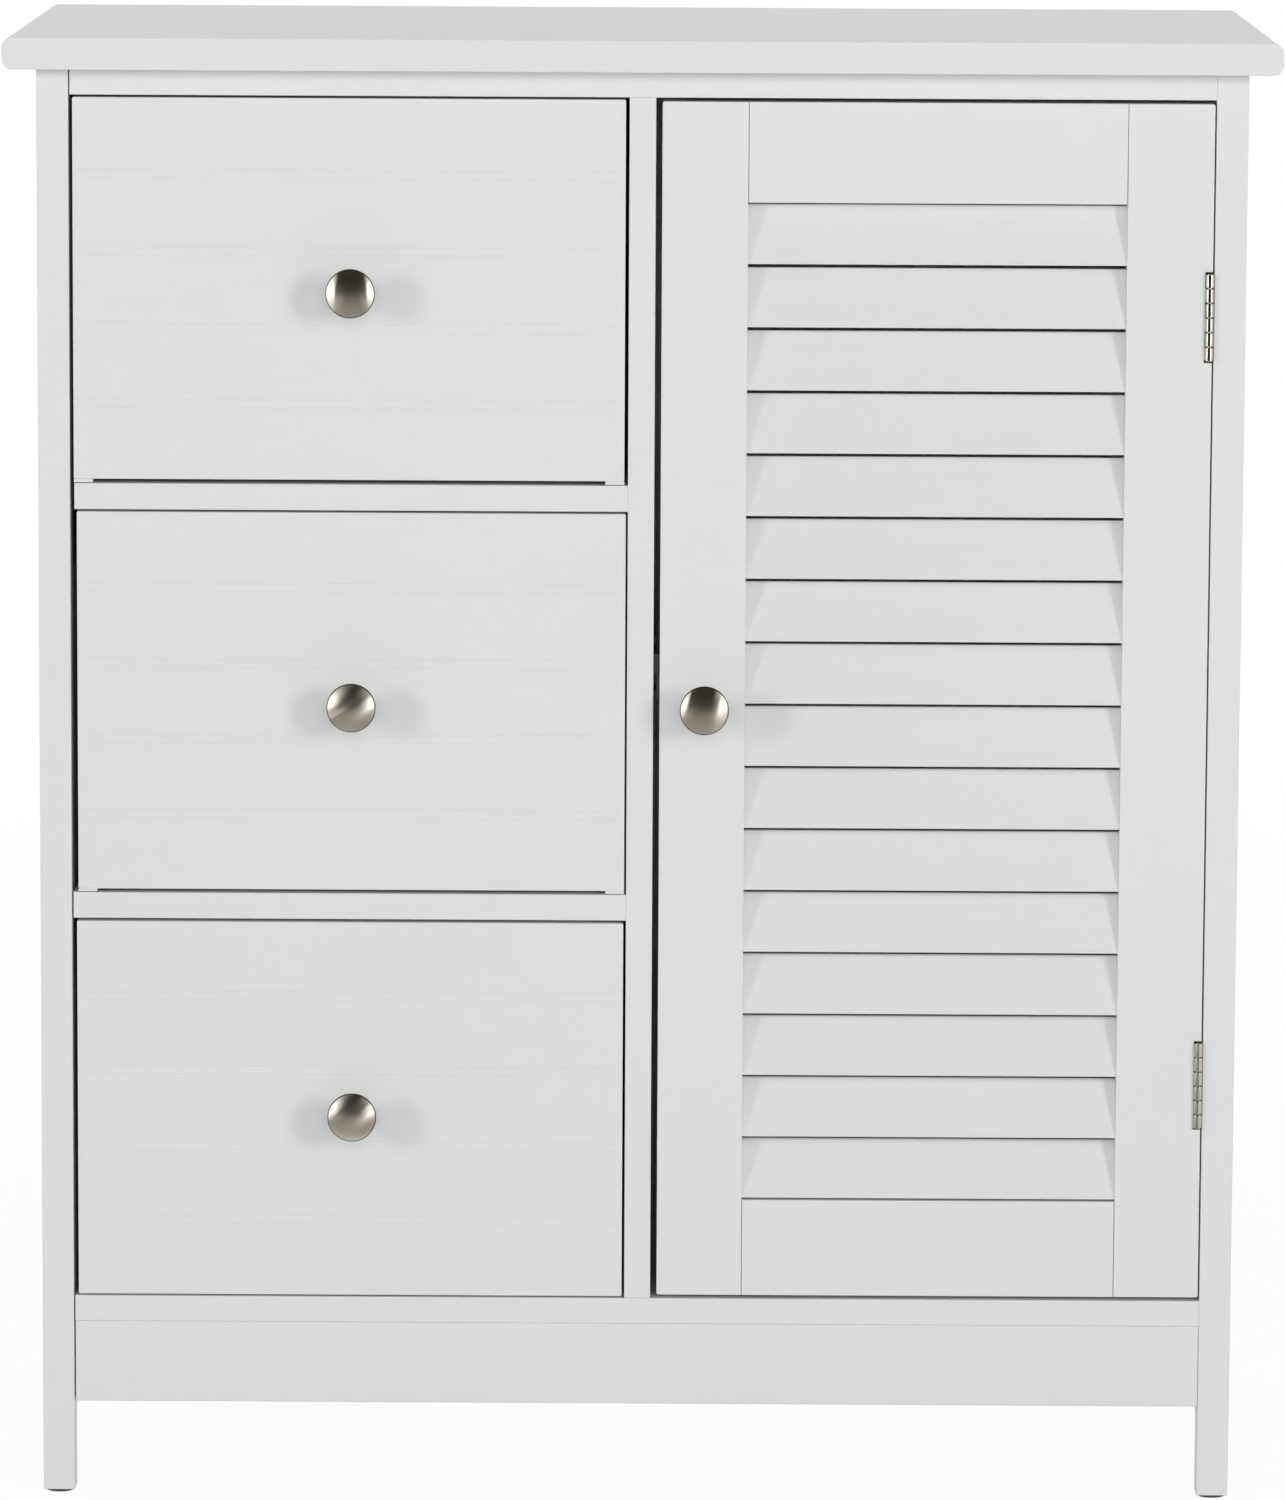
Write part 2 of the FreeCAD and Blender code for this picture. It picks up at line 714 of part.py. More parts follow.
# Along the depth, each carcass board that spans the cabinet has two dowels and two cams at either end,
# and each top rail has one of each, so the same places serve the boards and the panels that they meet.
BOARD_DOWELS = ("dowel_inset", "rear_dowel_y")
BOARD_CAMS = ("cam_inset", "rear_cam_y")
RAIL_DOWELS = ("rail_dowel_inset", "board_depth - rail_dowel_inset")
RAIL_CAMS = ("rail_cam_inset", "board_depth - rail_cam_inset")
TOP_CAMS = ("top_cam_inset", "rear_top_cam_y")
NAIL_LEVELS = [f"nail_inset + {step} * back_nail_step" for step in range(4)]
PIN_LEVELS = [f"bay_floor + shelf_pin_lowest + {step} * shelf_pin_spacing"
              for step in range(SIZES["shelf_pin_levels"])]
GLIDE_ROWS = ("leg_depth / 2", "carcass_depth - leg_depth / 2")
HINGES = ("upper_hinge_z", "lower_hinge_z")
HINGE_SCREW_LEVELS = [f"{hinge} + {z}" for hinge in HINGES
                      for z in ("leaf_screw_inset", "leaf_upper_screw")]
CATCH_SCREW_ROWS = ("catch_y + catch_screw_y", "catch_y + catch_screw_y + catch_screw_spacing")


def top_panel():
    body = new_piece("top_panel", ("-top_width / 2", "carcass_front - top_front_overhang", "top_panel_z"))
    deep = "top_front_overhang + carcass_depth"
    pad(body, "XY", "0", 1, "top_thickness", [rectangle("0", "0", "top_width", deep)])
    round_edges(body, "top_side_radius", lambda box: box.YLength > 1)
    round_edges(body, "top_front_ease", on_front)
    for x in ("top_side_overhang + side_thickness / 2",
              "top_width - top_side_overhang - side_thickness / 2"):
        dowels = [(x, f"top_front_overhang + {y}") for y in BOARD_DOWELS]
        cut(body, "XY", "0", 1, "dowel_hole_depth", holes("dowel_hole_radius", dowels))
        bolts = [(x, f"top_front_overhang + {y}") for y in TOP_CAMS]
        cut(body, "XY", "0", 1, "cam_bolt_hole_depth", holes("cam_bolt_hole_radius", bolts))
    return body


def side_panel(label, at_x, inner, shelves):
    """A side panel that runs down to the floor as two legs.  Inner is 1 where the inner face is the
    panel's right face and -1 where it is the left one; shelves are the boards that it holds."""
    body = new_piece(label, (at_x, "carcass_front", "glide_thickness"))
    pad(body, "XY", "0", 1, "side_height", [rectangle("0", "0", "side_thickness", "carcass_depth")])
    round_edges(body, "edge_ease", on_front)
    arch = rectangle("leg_depth", "0", "rear_leg_y", "leg_height - glide_thickness")
    cut(body, "YZ", "0", 1, "side_thickness", [arch])
    arch_top = number("leg_height - glide_thickness")
    round_edges(body, "leg_arch_radius", lambda box: same(box.ZMin, arch_top) and same(box.YLength, 0))

    inner_face = "side_thickness" if inner > 0 else "0"
    rabbet = ("side_thickness - back_rabbet", "side_thickness") if inner > 0 else ("0", "back_rabbet")
    cut(body, "XY", "bottom_board_z - glide_thickness", 1, "back_height",
        [rectangle(rabbet[0], "board_depth", rabbet[1], "carcass_depth")])

    def level(z):
        return f"{z} - glide_thickness"

    dowels = [(y, level("bottom_board_z + half_board")) for y in BOARD_DOWELS]
    dowels += [(y, level("bay_ceiling + half_board")) for y in RAIL_DOWELS]
    dowels += [("plinth_dowel_y", level("plinth_dowel_z"))]
    dowels += [(y, level(f"{shelf} + half_board")) for shelf in shelves for y in BOARD_DOWELS]
    cut(body, "YZ", inner_face, -inner, "dowel_hole_depth", holes("dowel_hole_radius", dowels))

    bolts = [(y, level("bottom_board_z + half_board")) for y in BOARD_CAMS]
    bolts += [(y, level("bay_ceiling + half_board")) for y in RAIL_CAMS]
    bolts += [(y, level(f"{shelf} + half_board")) for shelf in shelves for y in BOARD_CAMS]
    cut(body, "YZ", inner_face, -inner, "cam_bolt_hole_depth", holes("cam_bolt_hole_radius", bolts))

    cams = [(y, "side_height - cam_setback") for y in TOP_CAMS]
    cut(body, "YZ", inner_face, -inner, "side_thickness / 2 - half_board + cam_hole_depth",
        holes("cam_hole_radius", cams))
    middle = "side_thickness / 2"
    top_dowels = holes("dowel_hole_radius", [(middle, y) for y in BOARD_DOWELS])
    cut(body, "XY", "side_height", -1, "dowel_board_hole", top_dowels)
    top_bolts = holes("cam_bolt_hole_radius", [(middle, y) for y in TOP_CAMS])
    cut(body, "XY", "side_height", -1, "cam_setback", top_bolts)

    nail_x = "side_thickness - back_nail_x" if inner > 0 else "back_nail_x"
    nails = [(nail_x, level(f"bottom_board_z + {z}")) for z in NAIL_LEVELS]
    cut(body, "XZ", "board_depth", -1, "nail_grip + hole_end_play", holes("nail_hole_radius", nails))
    glides = [(middle, y) for y in GLIDE_ROWS]
    cut(body, "XY", "0", 1, "glide_nail_length + hole_end_play", holes("nail_hole_radius", glides))
    return body


def pin_holes(body, face, toward, base):
    """Three levels of holes for the adjustable shelf's pins."""
    places = [(y, f"{z} - {base}") for y in ("front_pin_y", "rear_pin_y") for z in PIN_LEVELS]
    cut(body, "YZ", face, toward, "shelf_pin_hole_depth", holes("shelf_pin_hole_radius", places))


def centre_divider():
    body = board("centre_divider", ("divider_left", "carcass_front", "bay_floor"),
                 "divider_thickness", "board_depth", "bay_height")
    middle = "divider_thickness / 2"
    shelf_dowels = [(y, f"{shelf} + half_board - bay_floor")
                    for shelf in ("lower_shelf_z", "upper_shelf_z") for y in BOARD_DOWELS]
    cut(body, "YZ", "0", 1, "dowel_short_hole_depth", holes("dowel_hole_radius", shelf_dowels))
    pin_holes(body, "divider_thickness", -1, "bay_floor")
    catch_screws = holes("screw_hole_radius", [(y, "catch_level") for y in CATCH_SCREW_ROWS])
    cut(body, "YZ", "divider_thickness", -1, "short_screw_length - catch_flange_thickness + hole_end_play",
        catch_screws)
    for face, toward, rows in (("0", 1, BOARD_DOWELS), ("bay_height", -1, RAIL_DOWELS)):
        dowels = [(middle, y) for y in rows]
        cut(body, "XY", face, toward, "dowel_long_hole", holes("dowel_hole_radius", dowels))
    nails = [(middle, f"bottom_board_z + {z} - bay_floor") for z in NAIL_LEVELS[1:3]]
    cut(body, "XZ", "board_depth", -1, "nail_grip + hole_end_play", holes("nail_hole_radius", nails))
    return body


def end_joints(body, wide, dowels, cams, left_gap, both_ends=True):
    """Dowel and cam holes in a board's ends, with the cams let in from below."""
    ends = [("0", 1, f"cam_setback - {left_gap}", f"dowel_board_hole - {left_gap}")]
    if both_ends:
        ends.append((wide, -1, f"{wide} - cam_setback", "dowel_board_hole"))
    for face, toward, cam_x, dowel_depth in ends:
        dowel_holes = holes("dowel_hole_radius", [(y, "half_board") for y in dowels])
        cut(body, "YZ", face, toward, dowel_depth, dowel_holes)
        bolt_depth = f"cam_setback - {left_gap}" if toward > 0 else "cam_setback"
        bolt_holes = holes("cam_bolt_hole_radius", [(y, "half_board") for y in cams])
        cut(body, "YZ", face, toward, bolt_depth, bolt_holes)
        cut(body, "XY", "0", 1, "cam_hole_depth", holes("cam_hole_radius", [(cam_x, y) for y in cams]))


def rear_nails(body, rear, places):
    """Holes for panel pins in a board's rear edge."""
    cut(body, "XZ", rear, -1, "nail_grip + hole_end_play",
        holes("nail_hole_radius", [(x, "half_board") for x in places]))


def bottom_board():
    body = board("bottom_board", ("inner_left + board_end_gap", "carcass_front", "bottom_board_z"),
                 "full_board_width", "board_depth", "board_thickness")
    end_joints(body, "full_board_width", BOARD_DOWELS, BOARD_CAMS, "board_end_gap")
    divider_x = "drawer_bay_width - board_end_gap + divider_thickness / 2"
    cut(body, "XY", "board_thickness", -1, "dowel_short_hole_depth",
        holes("dowel_hole_radius", [(divider_x, y) for y in BOARD_DOWELS]))
    rear_nails(body, "board_depth", ("full_board_width / 4", "full_board_width * 3 / 4"))
    return body


def top_rail(label, y, dowel_y, cam_y, nailed):
    """One of the two flat rails that join the side panels under the top panel."""
    body = board(label, ("inner_left + board_end_gap", behind_front(y), "bay_ceiling"),
                 "full_board_width", "rail_depth", "board_thickness")
    own_dowel, own_cam = f"{dowel_y} - {y}", f"{cam_y} - {y}"
    end_joints(body, "full_board_width", (own_dowel,), (own_cam,), "board_end_gap")
    divider_x = "drawer_bay_width - board_end_gap + divider_thickness / 2"
    cut(body, "XY", "0", 1, "dowel_short_hole_depth", holes("dowel_hole_radius", [(divider_x, own_dowel)]))
    if nailed:
        rear_nails(body, "rail_depth", ("full_board_width / 4", "full_board_width * 3 / 4"))
    return body


def drawer_shelf(name):
    """A board between the left side panel and the divider, which the drawer above it slides on."""
    wide, end_gap = f"{name}_shelf_width", f"{name}_shelf_end_gap"
    body = board(f"{name}_drawer_shelf", (f"inner_left + {end_gap}", "carcass_front", f"{name}_shelf_z"),
                 wide, "board_depth", "board_thickness")
    end_joints(body, wide, BOARD_DOWELS, BOARD_CAMS, end_gap, both_ends=False)
    cut(body, "YZ", wide, -1, "dowel_long_hole",
        holes("dowel_hole_radius", [(y, "half_board") for y in BOARD_DOWELS]))
    rear_nails(body, "board_depth", (f"{wide} / 2",))
    return body


def plinth_board():
    body = board("plinth_board",
                 ("inner_left + board_end_gap", behind_front("plinth_setback"), "leg_height"),
                 "full_board_width", "plinth_thickness", "plinth_height")
    spot = holes("dowel_hole_radius", [("plinth_thickness / 2", "plinth_height / 2")])
    cut(body, "YZ", "0", 1, "dowel_board_hole - board_end_gap", spot)
    cut(body, "YZ", "full_board_width", -1, "dowel_board_hole", spot)
    return body


def back_nail_places():
    """Each panel pin's X and height, from the cabinet's centre and the back panel's lower edge."""
    columns = ("inner_left - back_nail_x", "inner_right + back_nail_x")
    places = [(x, z) for x in columns for z in NAIL_LEVELS]
    left = "inner_left + board_end_gap"
    rows = ("half_board", "bay_ceiling + half_board - bottom_board_z")
    places += [(f"{left} + full_board_width * {share}", z) for share in ("1 / 4", "3 / 4") for z in rows]
    places += [("divider_left + divider_thickness / 2", z) for z in NAIL_LEVELS[1:3]]
    for shelf in ("lower_shelf", "upper_shelf"):
        places.append((f"inner_left + {shelf}_end_gap + {shelf}_width / 2",
                       f"{shelf}_z + half_board - bottom_board_z"))
    return places


def back_panel():
    left = "inner_left - back_rabbet + back_play"
    wide = "inner_width + 2 * back_rabbet - 2 * back_play"
    body = new_piece("back_panel", (left, behind_front("board_depth"), "bottom_board_z"))
    pad(body, "XY", "0", 1, "back_height", [rectangle("0", "0", wide, "back_thickness")])
    nails = [(f"{x} - ({left})", z) for x, z in back_nail_places()]
    cut(body, "XZ", "back_thickness", -1, "back_thickness", holes("nail_hole_radius", nails))
    return body


def door_bay_shelf():
    return board("door_bay_shelf",
                 ("divider_right + shelf_play", behind_front("shelf_setback"), "bay_shelf_z"),
                 "door_bay_width - 2 * shelf_play", "bay_shelf_depth", "board_thickness")


def shelf_pins():
    pin = master_of("shelf_pin_master")
    collar_end = "shelf_pin_seat + shelf_pin_collar_thickness"
    lathe(pin, [
        ("0", "0"),
        ("shelf_pin_diameter / 2", "0"),
        ("shelf_pin_diameter / 2", "shelf_pin_seat"),
        ("shelf_pin_collar_diameter / 2", "shelf_pin_seat"),
        ("shelf_pin_collar_diameter / 2", collar_end),
        ("shelf_pin_diameter / 2", collar_end),
        ("shelf_pin_diameter / 2", f"{collar_end} + shelf_pin_reach"),
        ("0", f"{collar_end} + shelf_pin_reach"),
    ])
    rows = [behind_front(y) for y in ("front_pin_y", "rear_pin_y")]
    group("shelf_pins", pin,
          [("divider_right - shelf_pin_seat", y, "shelf_pin_z", RIGHT) for y in rows]
          + [("inner_right + shelf_pin_seat", y, "shelf_pin_z", LEFT) for y in rows])


def foot_glides():
    """Nail-on plastic glides, one under each leg: a disc with its nail up the Z axis."""
    glide = master_of("glide_master")
    lathe(glide, [
        ("0", "0"),
        ("glide_diameter / 2 - glide_thickness / 2", "0"),
        ("glide_diameter / 2", "glide_thickness / 2", "glide_thickness / 2", 1),
        ("glide_diameter / 2", "glide_thickness"),
        ("nail_diameter / 2", "glide_thickness"),
        ("nail_diameter / 2", "glide_thickness + glide_nail_length"),
        ("0", "glide_thickness + glide_nail_length"),
    ])
    columns = ("inner_left - side_thickness / 2", "inner_right + side_thickness / 2")
    group("foot_glides", glide, [(x, behind_front(y), "0", UP) for x in columns for y in GLIDE_ROWS])


def carcass_dowels():
    """Every dowel of the carcass, starting at the bottom of its hole in the panel or the thinner board."""
    places = []
    for side, way, inset in (("inner_left", RIGHT, "-"), ("inner_right", LEFT, "+")):
        start = f"{side} {inset} dowel_seat"
        places += [(start, behind_front(y), "bottom_board_z + half_board", way) for y in BOARD_DOWELS]
        places += [(start, behind_front(y), "bay_ceiling + half_board", way) for y in RAIL_DOWELS]
        places += [(start, behind_front("plinth_dowel_y"), "plinth_dowel_z", way)]
        middle = f"{side} {inset} side_thickness / 2"
        places += [(middle, behind_front(y), "top_panel_z + dowel_seat", DOWN) for y in BOARD_DOWELS]
    for level in ("lower_shelf_z + half_board", "upper_shelf_z + half_board"):
        for y in BOARD_DOWELS:
            places.append(("inner_left - dowel_seat", behind_front(y), level, RIGHT))
            places.append(("divider_left + dowel_short_seat", behind_front(y), level, LEFT))
    middle = "divider_left + divider_thickness / 2"
    places += [(middle, behind_front(y), "bay_floor - dowel_short_seat", UP) for y in BOARD_DOWELS]
    places += [(middle, behind_front(y), "bay_ceiling + dowel_short_seat", DOWN) for y in RAIL_DOWELS]
    group("carcass_dowels", dowel, places)


def cam_fittings():
    """The cams under the boards' ends and inside the side panels' tops, each with its bolt."""
    locks = []
    bolts = []
    sides = (("inner_left", LEFT, RIGHT, "+", "-"), ("inner_right", RIGHT, LEFT, "-", "+"))
    for side, outward, inward, sign, away in sides:
        boards = [("bottom_board_z", BOARD_CAMS), ("bay_ceiling", RAIL_CAMS)]
        if side == "inner_left":
            boards += [("lower_shelf_z", BOARD_CAMS), ("upper_shelf_z", BOARD_CAMS)]
        for z, rows in boards:
            for y in rows:
                locks.append((f"{side} {sign} cam_setback", behind_front(y), z, UP, outward))
                bolts.append((f"{side} {away} cam_bolt_seat", behind_front(y), f"{z} + half_board", inward))
        middle = f"{side} {away} side_thickness / 2"
        face = f"{side} {away} (side_thickness / 2 - half_board)"
        for y in TOP_CAMS:
            locks.append((face, behind_front(y), "top_panel_z - cam_setback", outward, UP))
            bolts.append((middle, behind_front(y), "top_panel_z + cam_bolt_seat", DOWN))
    group("cam_locks", cam, locks)
    group("cam_bolts", cam_bolt, bolts)


def back_panel_nails():
    rear = behind_front("board_depth + back_thickness")
    group("back_panel_nails", nail,
          [(x, rear, f"bottom_board_z + {z}", FORWARD) for x, z in back_nail_places()])


# ---------------------------------------------------------------- drawers

FRONT_DOWELS = ("drawer_dowel_height", "drawer_upper_dowel")
BACK_DOWELS = ("drawer_back_dowel_height", "drawer_upper_back_dowel")


def knob(label, x, z):
    """A turned mushroom knob whose foot stands on a front and whose dome faces forward."""
    body = new_piece(label, (x, "carcass_front", z), FORWARD)
    lathe(body, [
        ("0", "0"),
        ("knob_base_diameter / 2", "0"),
        ("knob_base_diameter / 2", "knob_base_thickness"),
        ("knob_neck_diameter / 2", "knob_base_thickness * 2"),
        ("knob_neck_diameter / 2", "knob_rim_bottom - knob_flare_height"),
        ("knob_diameter / 2", "knob_rim_bottom", "knob_flare_radius", -1),
        ("knob_diameter / 2", "knob_rim_top"),
        ("0", "knob_projection", "knob_dome_radius", 1),
    ])
    cut(body, "XY", "0", 1, "knob_screw_length - door_thickness + hole_end_play",
        holes("knob_screw_hole_radius", [("0", "0")]))
    return body


def drawer_front(name):
    wide, tall = f"{name}_width", f"{name}_front_height"
    body = board(f"{name}_drawer_front", (f"{name}_left", "carcass_front", f"{name}_front_z"),
                 wide, "drawer_front_thickness", tall)
    groove = [("0", f"{name}_band - band_groove_width / 2"),
              ("band_groove_depth", f"{name}_band"),
              ("0", f"{name}_band + band_groove_width / 2")]
    first = cut(body, "YZ", "band_groove_inset", 1, f"{wide} - 2 * band_groove_inset", [groove])
    repeat(body, [first], "Z", f"{name}_band", "drawer_band_count - 1")
    low = f"drawer_bottom_lift - {name}_bottom_gap"
    slot = rectangle("drawer_side_thickness - drawer_tongue", low,
                     f"{wide} - drawer_side_thickness + drawer_tongue", f"{low} + drawer_bottom_thickness")
    cut(body, "XZ", "drawer_front_thickness", -1, "drawer_groove_depth", [slot])
    columns = ("drawer_side_thickness / 2", f"{wide} - drawer_side_thickness / 2")
    dowels = [(x, f"{z} - {name}_bottom_gap") for x in columns for z in FRONT_DOWELS]
    cut(body, "XZ", "drawer_front_thickness", -1, "dowel_hole_depth", holes("dowel_hole_radius", dowels))
    cut(body, "XZ", "0", 1, "drawer_front_thickness",
        holes("knob_screw_hole_radius", [(f"{wide} / 2 + {name}_knob_shift", f"{tall} / 2")]))
    return body


def drawer_side(name, hand, at_x, inner):
    """A drawer's side.  Inner is 1 where the drawer's inside is on the side's right."""
    body = new_piece(f"{name}_drawer_{hand}_side", (at_x, "drawer_side_y", f"{name}_floor"))
    pad(body, "XY", "0", 1, "drawer_side_height",
        [rectangle("0", "0", "drawer_side_thickness", "drawer_side_length")])
    top = number("drawer_side_height")
    round_edges(body, "edge_ease", lambda box: same(box.ZMin, top) and box.YLength > 1)
    inner_face = "drawer_side_thickness" if inner > 0 else "0"
    groove = rectangle("0", "drawer_bottom_lift", "drawer_side_length", "drawer_back_lift")
    cut(body, "YZ", inner_face, -inner, "drawer_groove_depth", [groove])
    front_dowels = [("drawer_side_thickness / 2", z) for z in FRONT_DOWELS]
    cut(body, "XZ", "0", 1, "dowel_board_hole", holes("dowel_hole_radius", front_dowels))
    back_dowels = [("drawer_back_middle", z) for z in BACK_DOWELS]
    cut(body, "YZ", "0", 1, "drawer_side_thickness", holes("dowel_hole_radius", back_dowels))
    return body


def drawer_back(name):
    wide = f"{name}_width - 2 * drawer_side_thickness"
    body = new_piece(f"{name}_drawer_back",
                     (f"{name}_left + drawer_side_thickness", "drawer_side_y + drawer_back_y",
                      f"{name}_floor + drawer_back_lift"))
    pad(body, "XY", "0", 1, "drawer_back_height", [rectangle("0", "0", wide, "drawer_back_thickness")])
    dowels = [("drawer_back_thickness / 2", f"{z} - drawer_back_lift") for z in BACK_DOWELS]
    depth = "dowel_length - drawer_side_thickness + hole_end_play"
    for face, toward in (("0", 1), (wide, -1)):
        cut(body, "YZ", face, toward, depth, holes("dowel_hole_radius", dowels))
    return body


def drawer_bottom(name):
    wide = f"{name}_width - 2 * drawer_side_thickness + 2 * drawer_tongue"
    body = new_piece(f"{name}_drawer_bottom",
                     (f"{name}_left + drawer_side_thickness - drawer_tongue", "drawer_bottom_y",
                      f"{name}_floor + drawer_bottom_lift"))
    pad(body, "XY", "0", 1, "drawer_bottom_thickness", [rectangle("0", "0", wide, "drawer_bottom_length")])
    return body


def drawer_dowels(name):
    """Dowels between the sides and the front, and dowels driven through the sides into the back."""
    places = []
    middle = "drawer_side_thickness / 2"
    for x, inset, way in ((f"{name}_left", "+", RIGHT), (f"{name}_right", "-", LEFT)):
        places += [(f"{x} {inset} {middle}", "drawer_side_y - dowel_seat", f"{name}_floor + {z}", BACKWARD)
                   for z in FRONT_DOWELS]
        places += [(x, "drawer_side_y + drawer_back_middle", f"{name}_floor + {z}", way)
                   for z in BACK_DOWELS]
    group(f"{name}_drawer_dowels", dowel, places)


def drawer_unit(name):
    drawer_front(name)
    drawer_side(name, "left", f"{name}_left", 1)
    drawer_side(name, "right", f"{name}_right - drawer_side_thickness", -1)
    drawer_back(name)
    drawer_bottom(name)
    drawer_dowels(name)
    knob_x = f"{name}_left + {name}_width / 2 + {name}_knob_shift"
    knob_z = f"{name}_front_z + {name}_front_height / 2"
    knob(f"{name}_drawer_knob", knob_x, knob_z)
    group(f"{name}_drawer_knob_screw", knob_screw, [(knob_x, "drawer_side_y", knob_z, FORWARD)])


# ---------------------------------------------------------------- door

def slat_section(base):
    """A slat's section, leaning back from its flat foot: points of (depth, height)."""
    return [("slat_setback", base),
            ("slat_setback + slat_foot", base),
            ("slat_setback + slat_back_run", f"{base} + slat_back_rise"),
            ("slat_setback + slat_run", f"{base} + slat_rise")]


def door_stile(label, at_x, inner):
    """An upright of the door with sloping housings for the slats.  Inner is 1 where the louvres are on
    its right."""
    body = board(label, (at_x, "carcass_front", "door_bottom"),
                 "stile_width", "door_thickness", "door_height", ease="joint_ease")
    inner_face = "stile_width" if inner > 0 else "0"
    housing = cut(body, "YZ", inner_face, -inner, "slat_housing_depth", [slat_section("slat_base")])
    repeat(body, [housing], "Z", "slat_pitch", "slat_count")
    levels = rail_dowel_levels("0", "door_height - door_top_rail_height")
    cut(body, "YZ", inner_face, -inner, "dowel_length / 2 + hole_end_play",
        holes("dowel_hole_radius", [("door_thickness / 2", z) for z in levels]))
    return body


def rail_dowel_levels(bottom_rail, top_rail):
    """The heights of the two dowels at each end of both door rails, given the rails' lower edges."""
    return [f"{bottom_rail} + door_dowel_inset",
            f"{bottom_rail} + door_bottom_rail_height - door_dowel_inset",
            f"{top_rail} + door_dowel_inset",
            f"{top_rail} + door_top_rail_height - door_dowel_inset"]


def left_stile():
    body = door_stile("door_left_stile", "door_left", 1)
    cut(body, "XZ", "0", 1, "door_thickness",
        holes("knob_screw_hole_radius", [("door_knob_inset", "door_height / 2")]))
    strike_x = "strike_x + strike_width / 2 - door_left"
    screws = [(strike_x, f"catch_z {sign} strike_screw_spacing / 2 - door_bottom") for sign in ("-", "+")]
    cut(body, "XZ", "door_thickness", -1, "short_screw_length - strike_thickness + hole_end_play",
        holes("screw_hole_radius", screws))
    return body


def right_stile():
    body = door_stile("door_right_stile", "right_stile_left", -1)
    floor = "hinge_notch_floor - right_stile_left"
    for hinge_z in HINGES:
        low = f"{hinge_z} - hinge_notch_margin - door_bottom"
        cut(body, "XZ", "0", 1, "door_thickness",
            [rectangle(floor, low, "stile_width", f"{low} + hinge_notch_height")])
    screws = [("leaf_screw_y", f"{z} - door_bottom") for z in HINGE_SCREW_LEVELS]
    cut(body, "YZ", floor, -1, "short_screw_length - leaf_thickness + hole_end_play",
        holes("screw_hole_radius", screws))
    return body


def door_rail(label, z):
    tall = f"{label}_height"
    body = board(label, ("door_rail_left", "carcass_front", z),
                 "door_rail_width", "door_thickness", tall, ease="joint_ease")
    dowels = [("door_thickness / 2", level) for level in ("door_dowel_inset", f"{tall} - door_dowel_inset")]
    for face, toward in (("0", 1), ("door_rail_width", -1)):
        cut(body, "YZ", face, toward, "dowel_length / 2 + hole_end_play",
            holes("dowel_hole_radius", dowels))
    return body


def louvre_slats():
    """The slats, which lean back from their lower edges and are let into both stiles."""
    body = new_piece("louvre_slats", ("door_rail_left - slat_tenon", "carcass_front", "door_bottom"))
    slat = pad(body, "YZ", "0", 1, "door_rail_width + 2 * slat_tenon", [slat_section("slat_base")])
    repeat(body, [slat], "Z", "slat_pitch", "slat_count")
    return body


def door_fasteners():
    levels = rail_dowel_levels("door_bottom", "top_rail_bottom")
    middle = behind_front("door_thickness / 2")
    columns = ("door_rail_left - dowel_length / 2", "right_stile_left - dowel_length / 2")
    group("door_dowels", dowel, [(x, middle, z, RIGHT) for x in columns for z in levels])
    inside = behind_front("door_thickness")
    group("door_knob_screw", knob_screw, [("door_knob_x", inside, "door_knob_z", FORWARD)])
    leaf_face = "hinge_notch_floor + leaf_thickness"
    screws = [(leaf_face, behind_front("leaf_screw_y"), z, LEFT) for z in HINGE_SCREW_LEVELS]
    strike_face = behind_front("door_thickness + strike_thickness")
    strike_middle = "strike_x + strike_width / 2"
    screws += [(strike_middle, strike_face, f"catch_z {sign} strike_screw_spacing / 2", FORWARD)
               for sign in ("-", "+")]
    group("door_small_screws", short_screw, screws)


# ---------------------------------------------------------------- hinges

def hinge_leaf(label, z, side, first_knuckle):
    """One leaf of a butt hinge, about the pin's axis.  Side is 1 for the leaf on the side panel and -1
    for the leaf on the door; its knuckles start at the first and take every other place."""
    body = new_piece(label, ("hinge_axis_x", "hinge_axis_y", z))
    near, far = ("leaf_inner", "leaf_outer") if side > 0 else ("-leaf_outer", "-leaf_inner")
    pad(body, "XY", "0", 1, "hinge_height", [rectangle(near, "leaf_start", far, "leaf_width")])
    corner = number("leaf_width")
    round_edges(body, "leaf_thickness",
                lambda box: same(box.YMin, corner) and same(box.YMax, corner) and box.XLength > 0.1)
    base = f"{first_knuckle} * knuckle_pitch + knuckle_gap / 2"
    tab = pad(body, "XY", base, 1, "knuckle_pitch - knuckle_gap", [rectangle(near, "0", far, "leaf_start")])
    barrel = pad(body, "XY", base, 1, "knuckle_pitch - knuckle_gap", [("0", "0", "barrel_radius")])
    repeat(body, [tab, barrel], "Z", "2 * knuckle_pitch", "hinge_knuckles / 2")
    cut(body, "XY", "0", 1, "hinge_height", [("0", "0", "hinge_pin_diameter / 2 + hinge_pin_clearance")])
    inner_face = "leaf_inner" if side > 0 else "-leaf_inner"
    countersink(body, "YZ", inner_face, side,
                [("leaf_screw_offset", height) for height in ("leaf_screw_inset", "leaf_upper_screw")])
    return body


def hinge_pins():
    """The two hinge pins, with slightly rounded ends."""
    pin = master_of("hinge_pin_master")
    radius, ease = "hinge_pin_diameter / 2", "hinge_pin_diameter / 6"
    lathe(pin, [
        ("0", "0"),
        (f"{radius} - {ease}", "0"),
        (radius, ease, ease, 1),
        (radius, f"hinge_height - {ease}"),
        (f"{radius} - {ease}", "hinge_height", ease, 1),
        ("0", "hinge_height"),
    ])
    group("hinge_pins", pin, [("hinge_axis_x", "hinge_axis_y", z, UP) for z in HINGES])


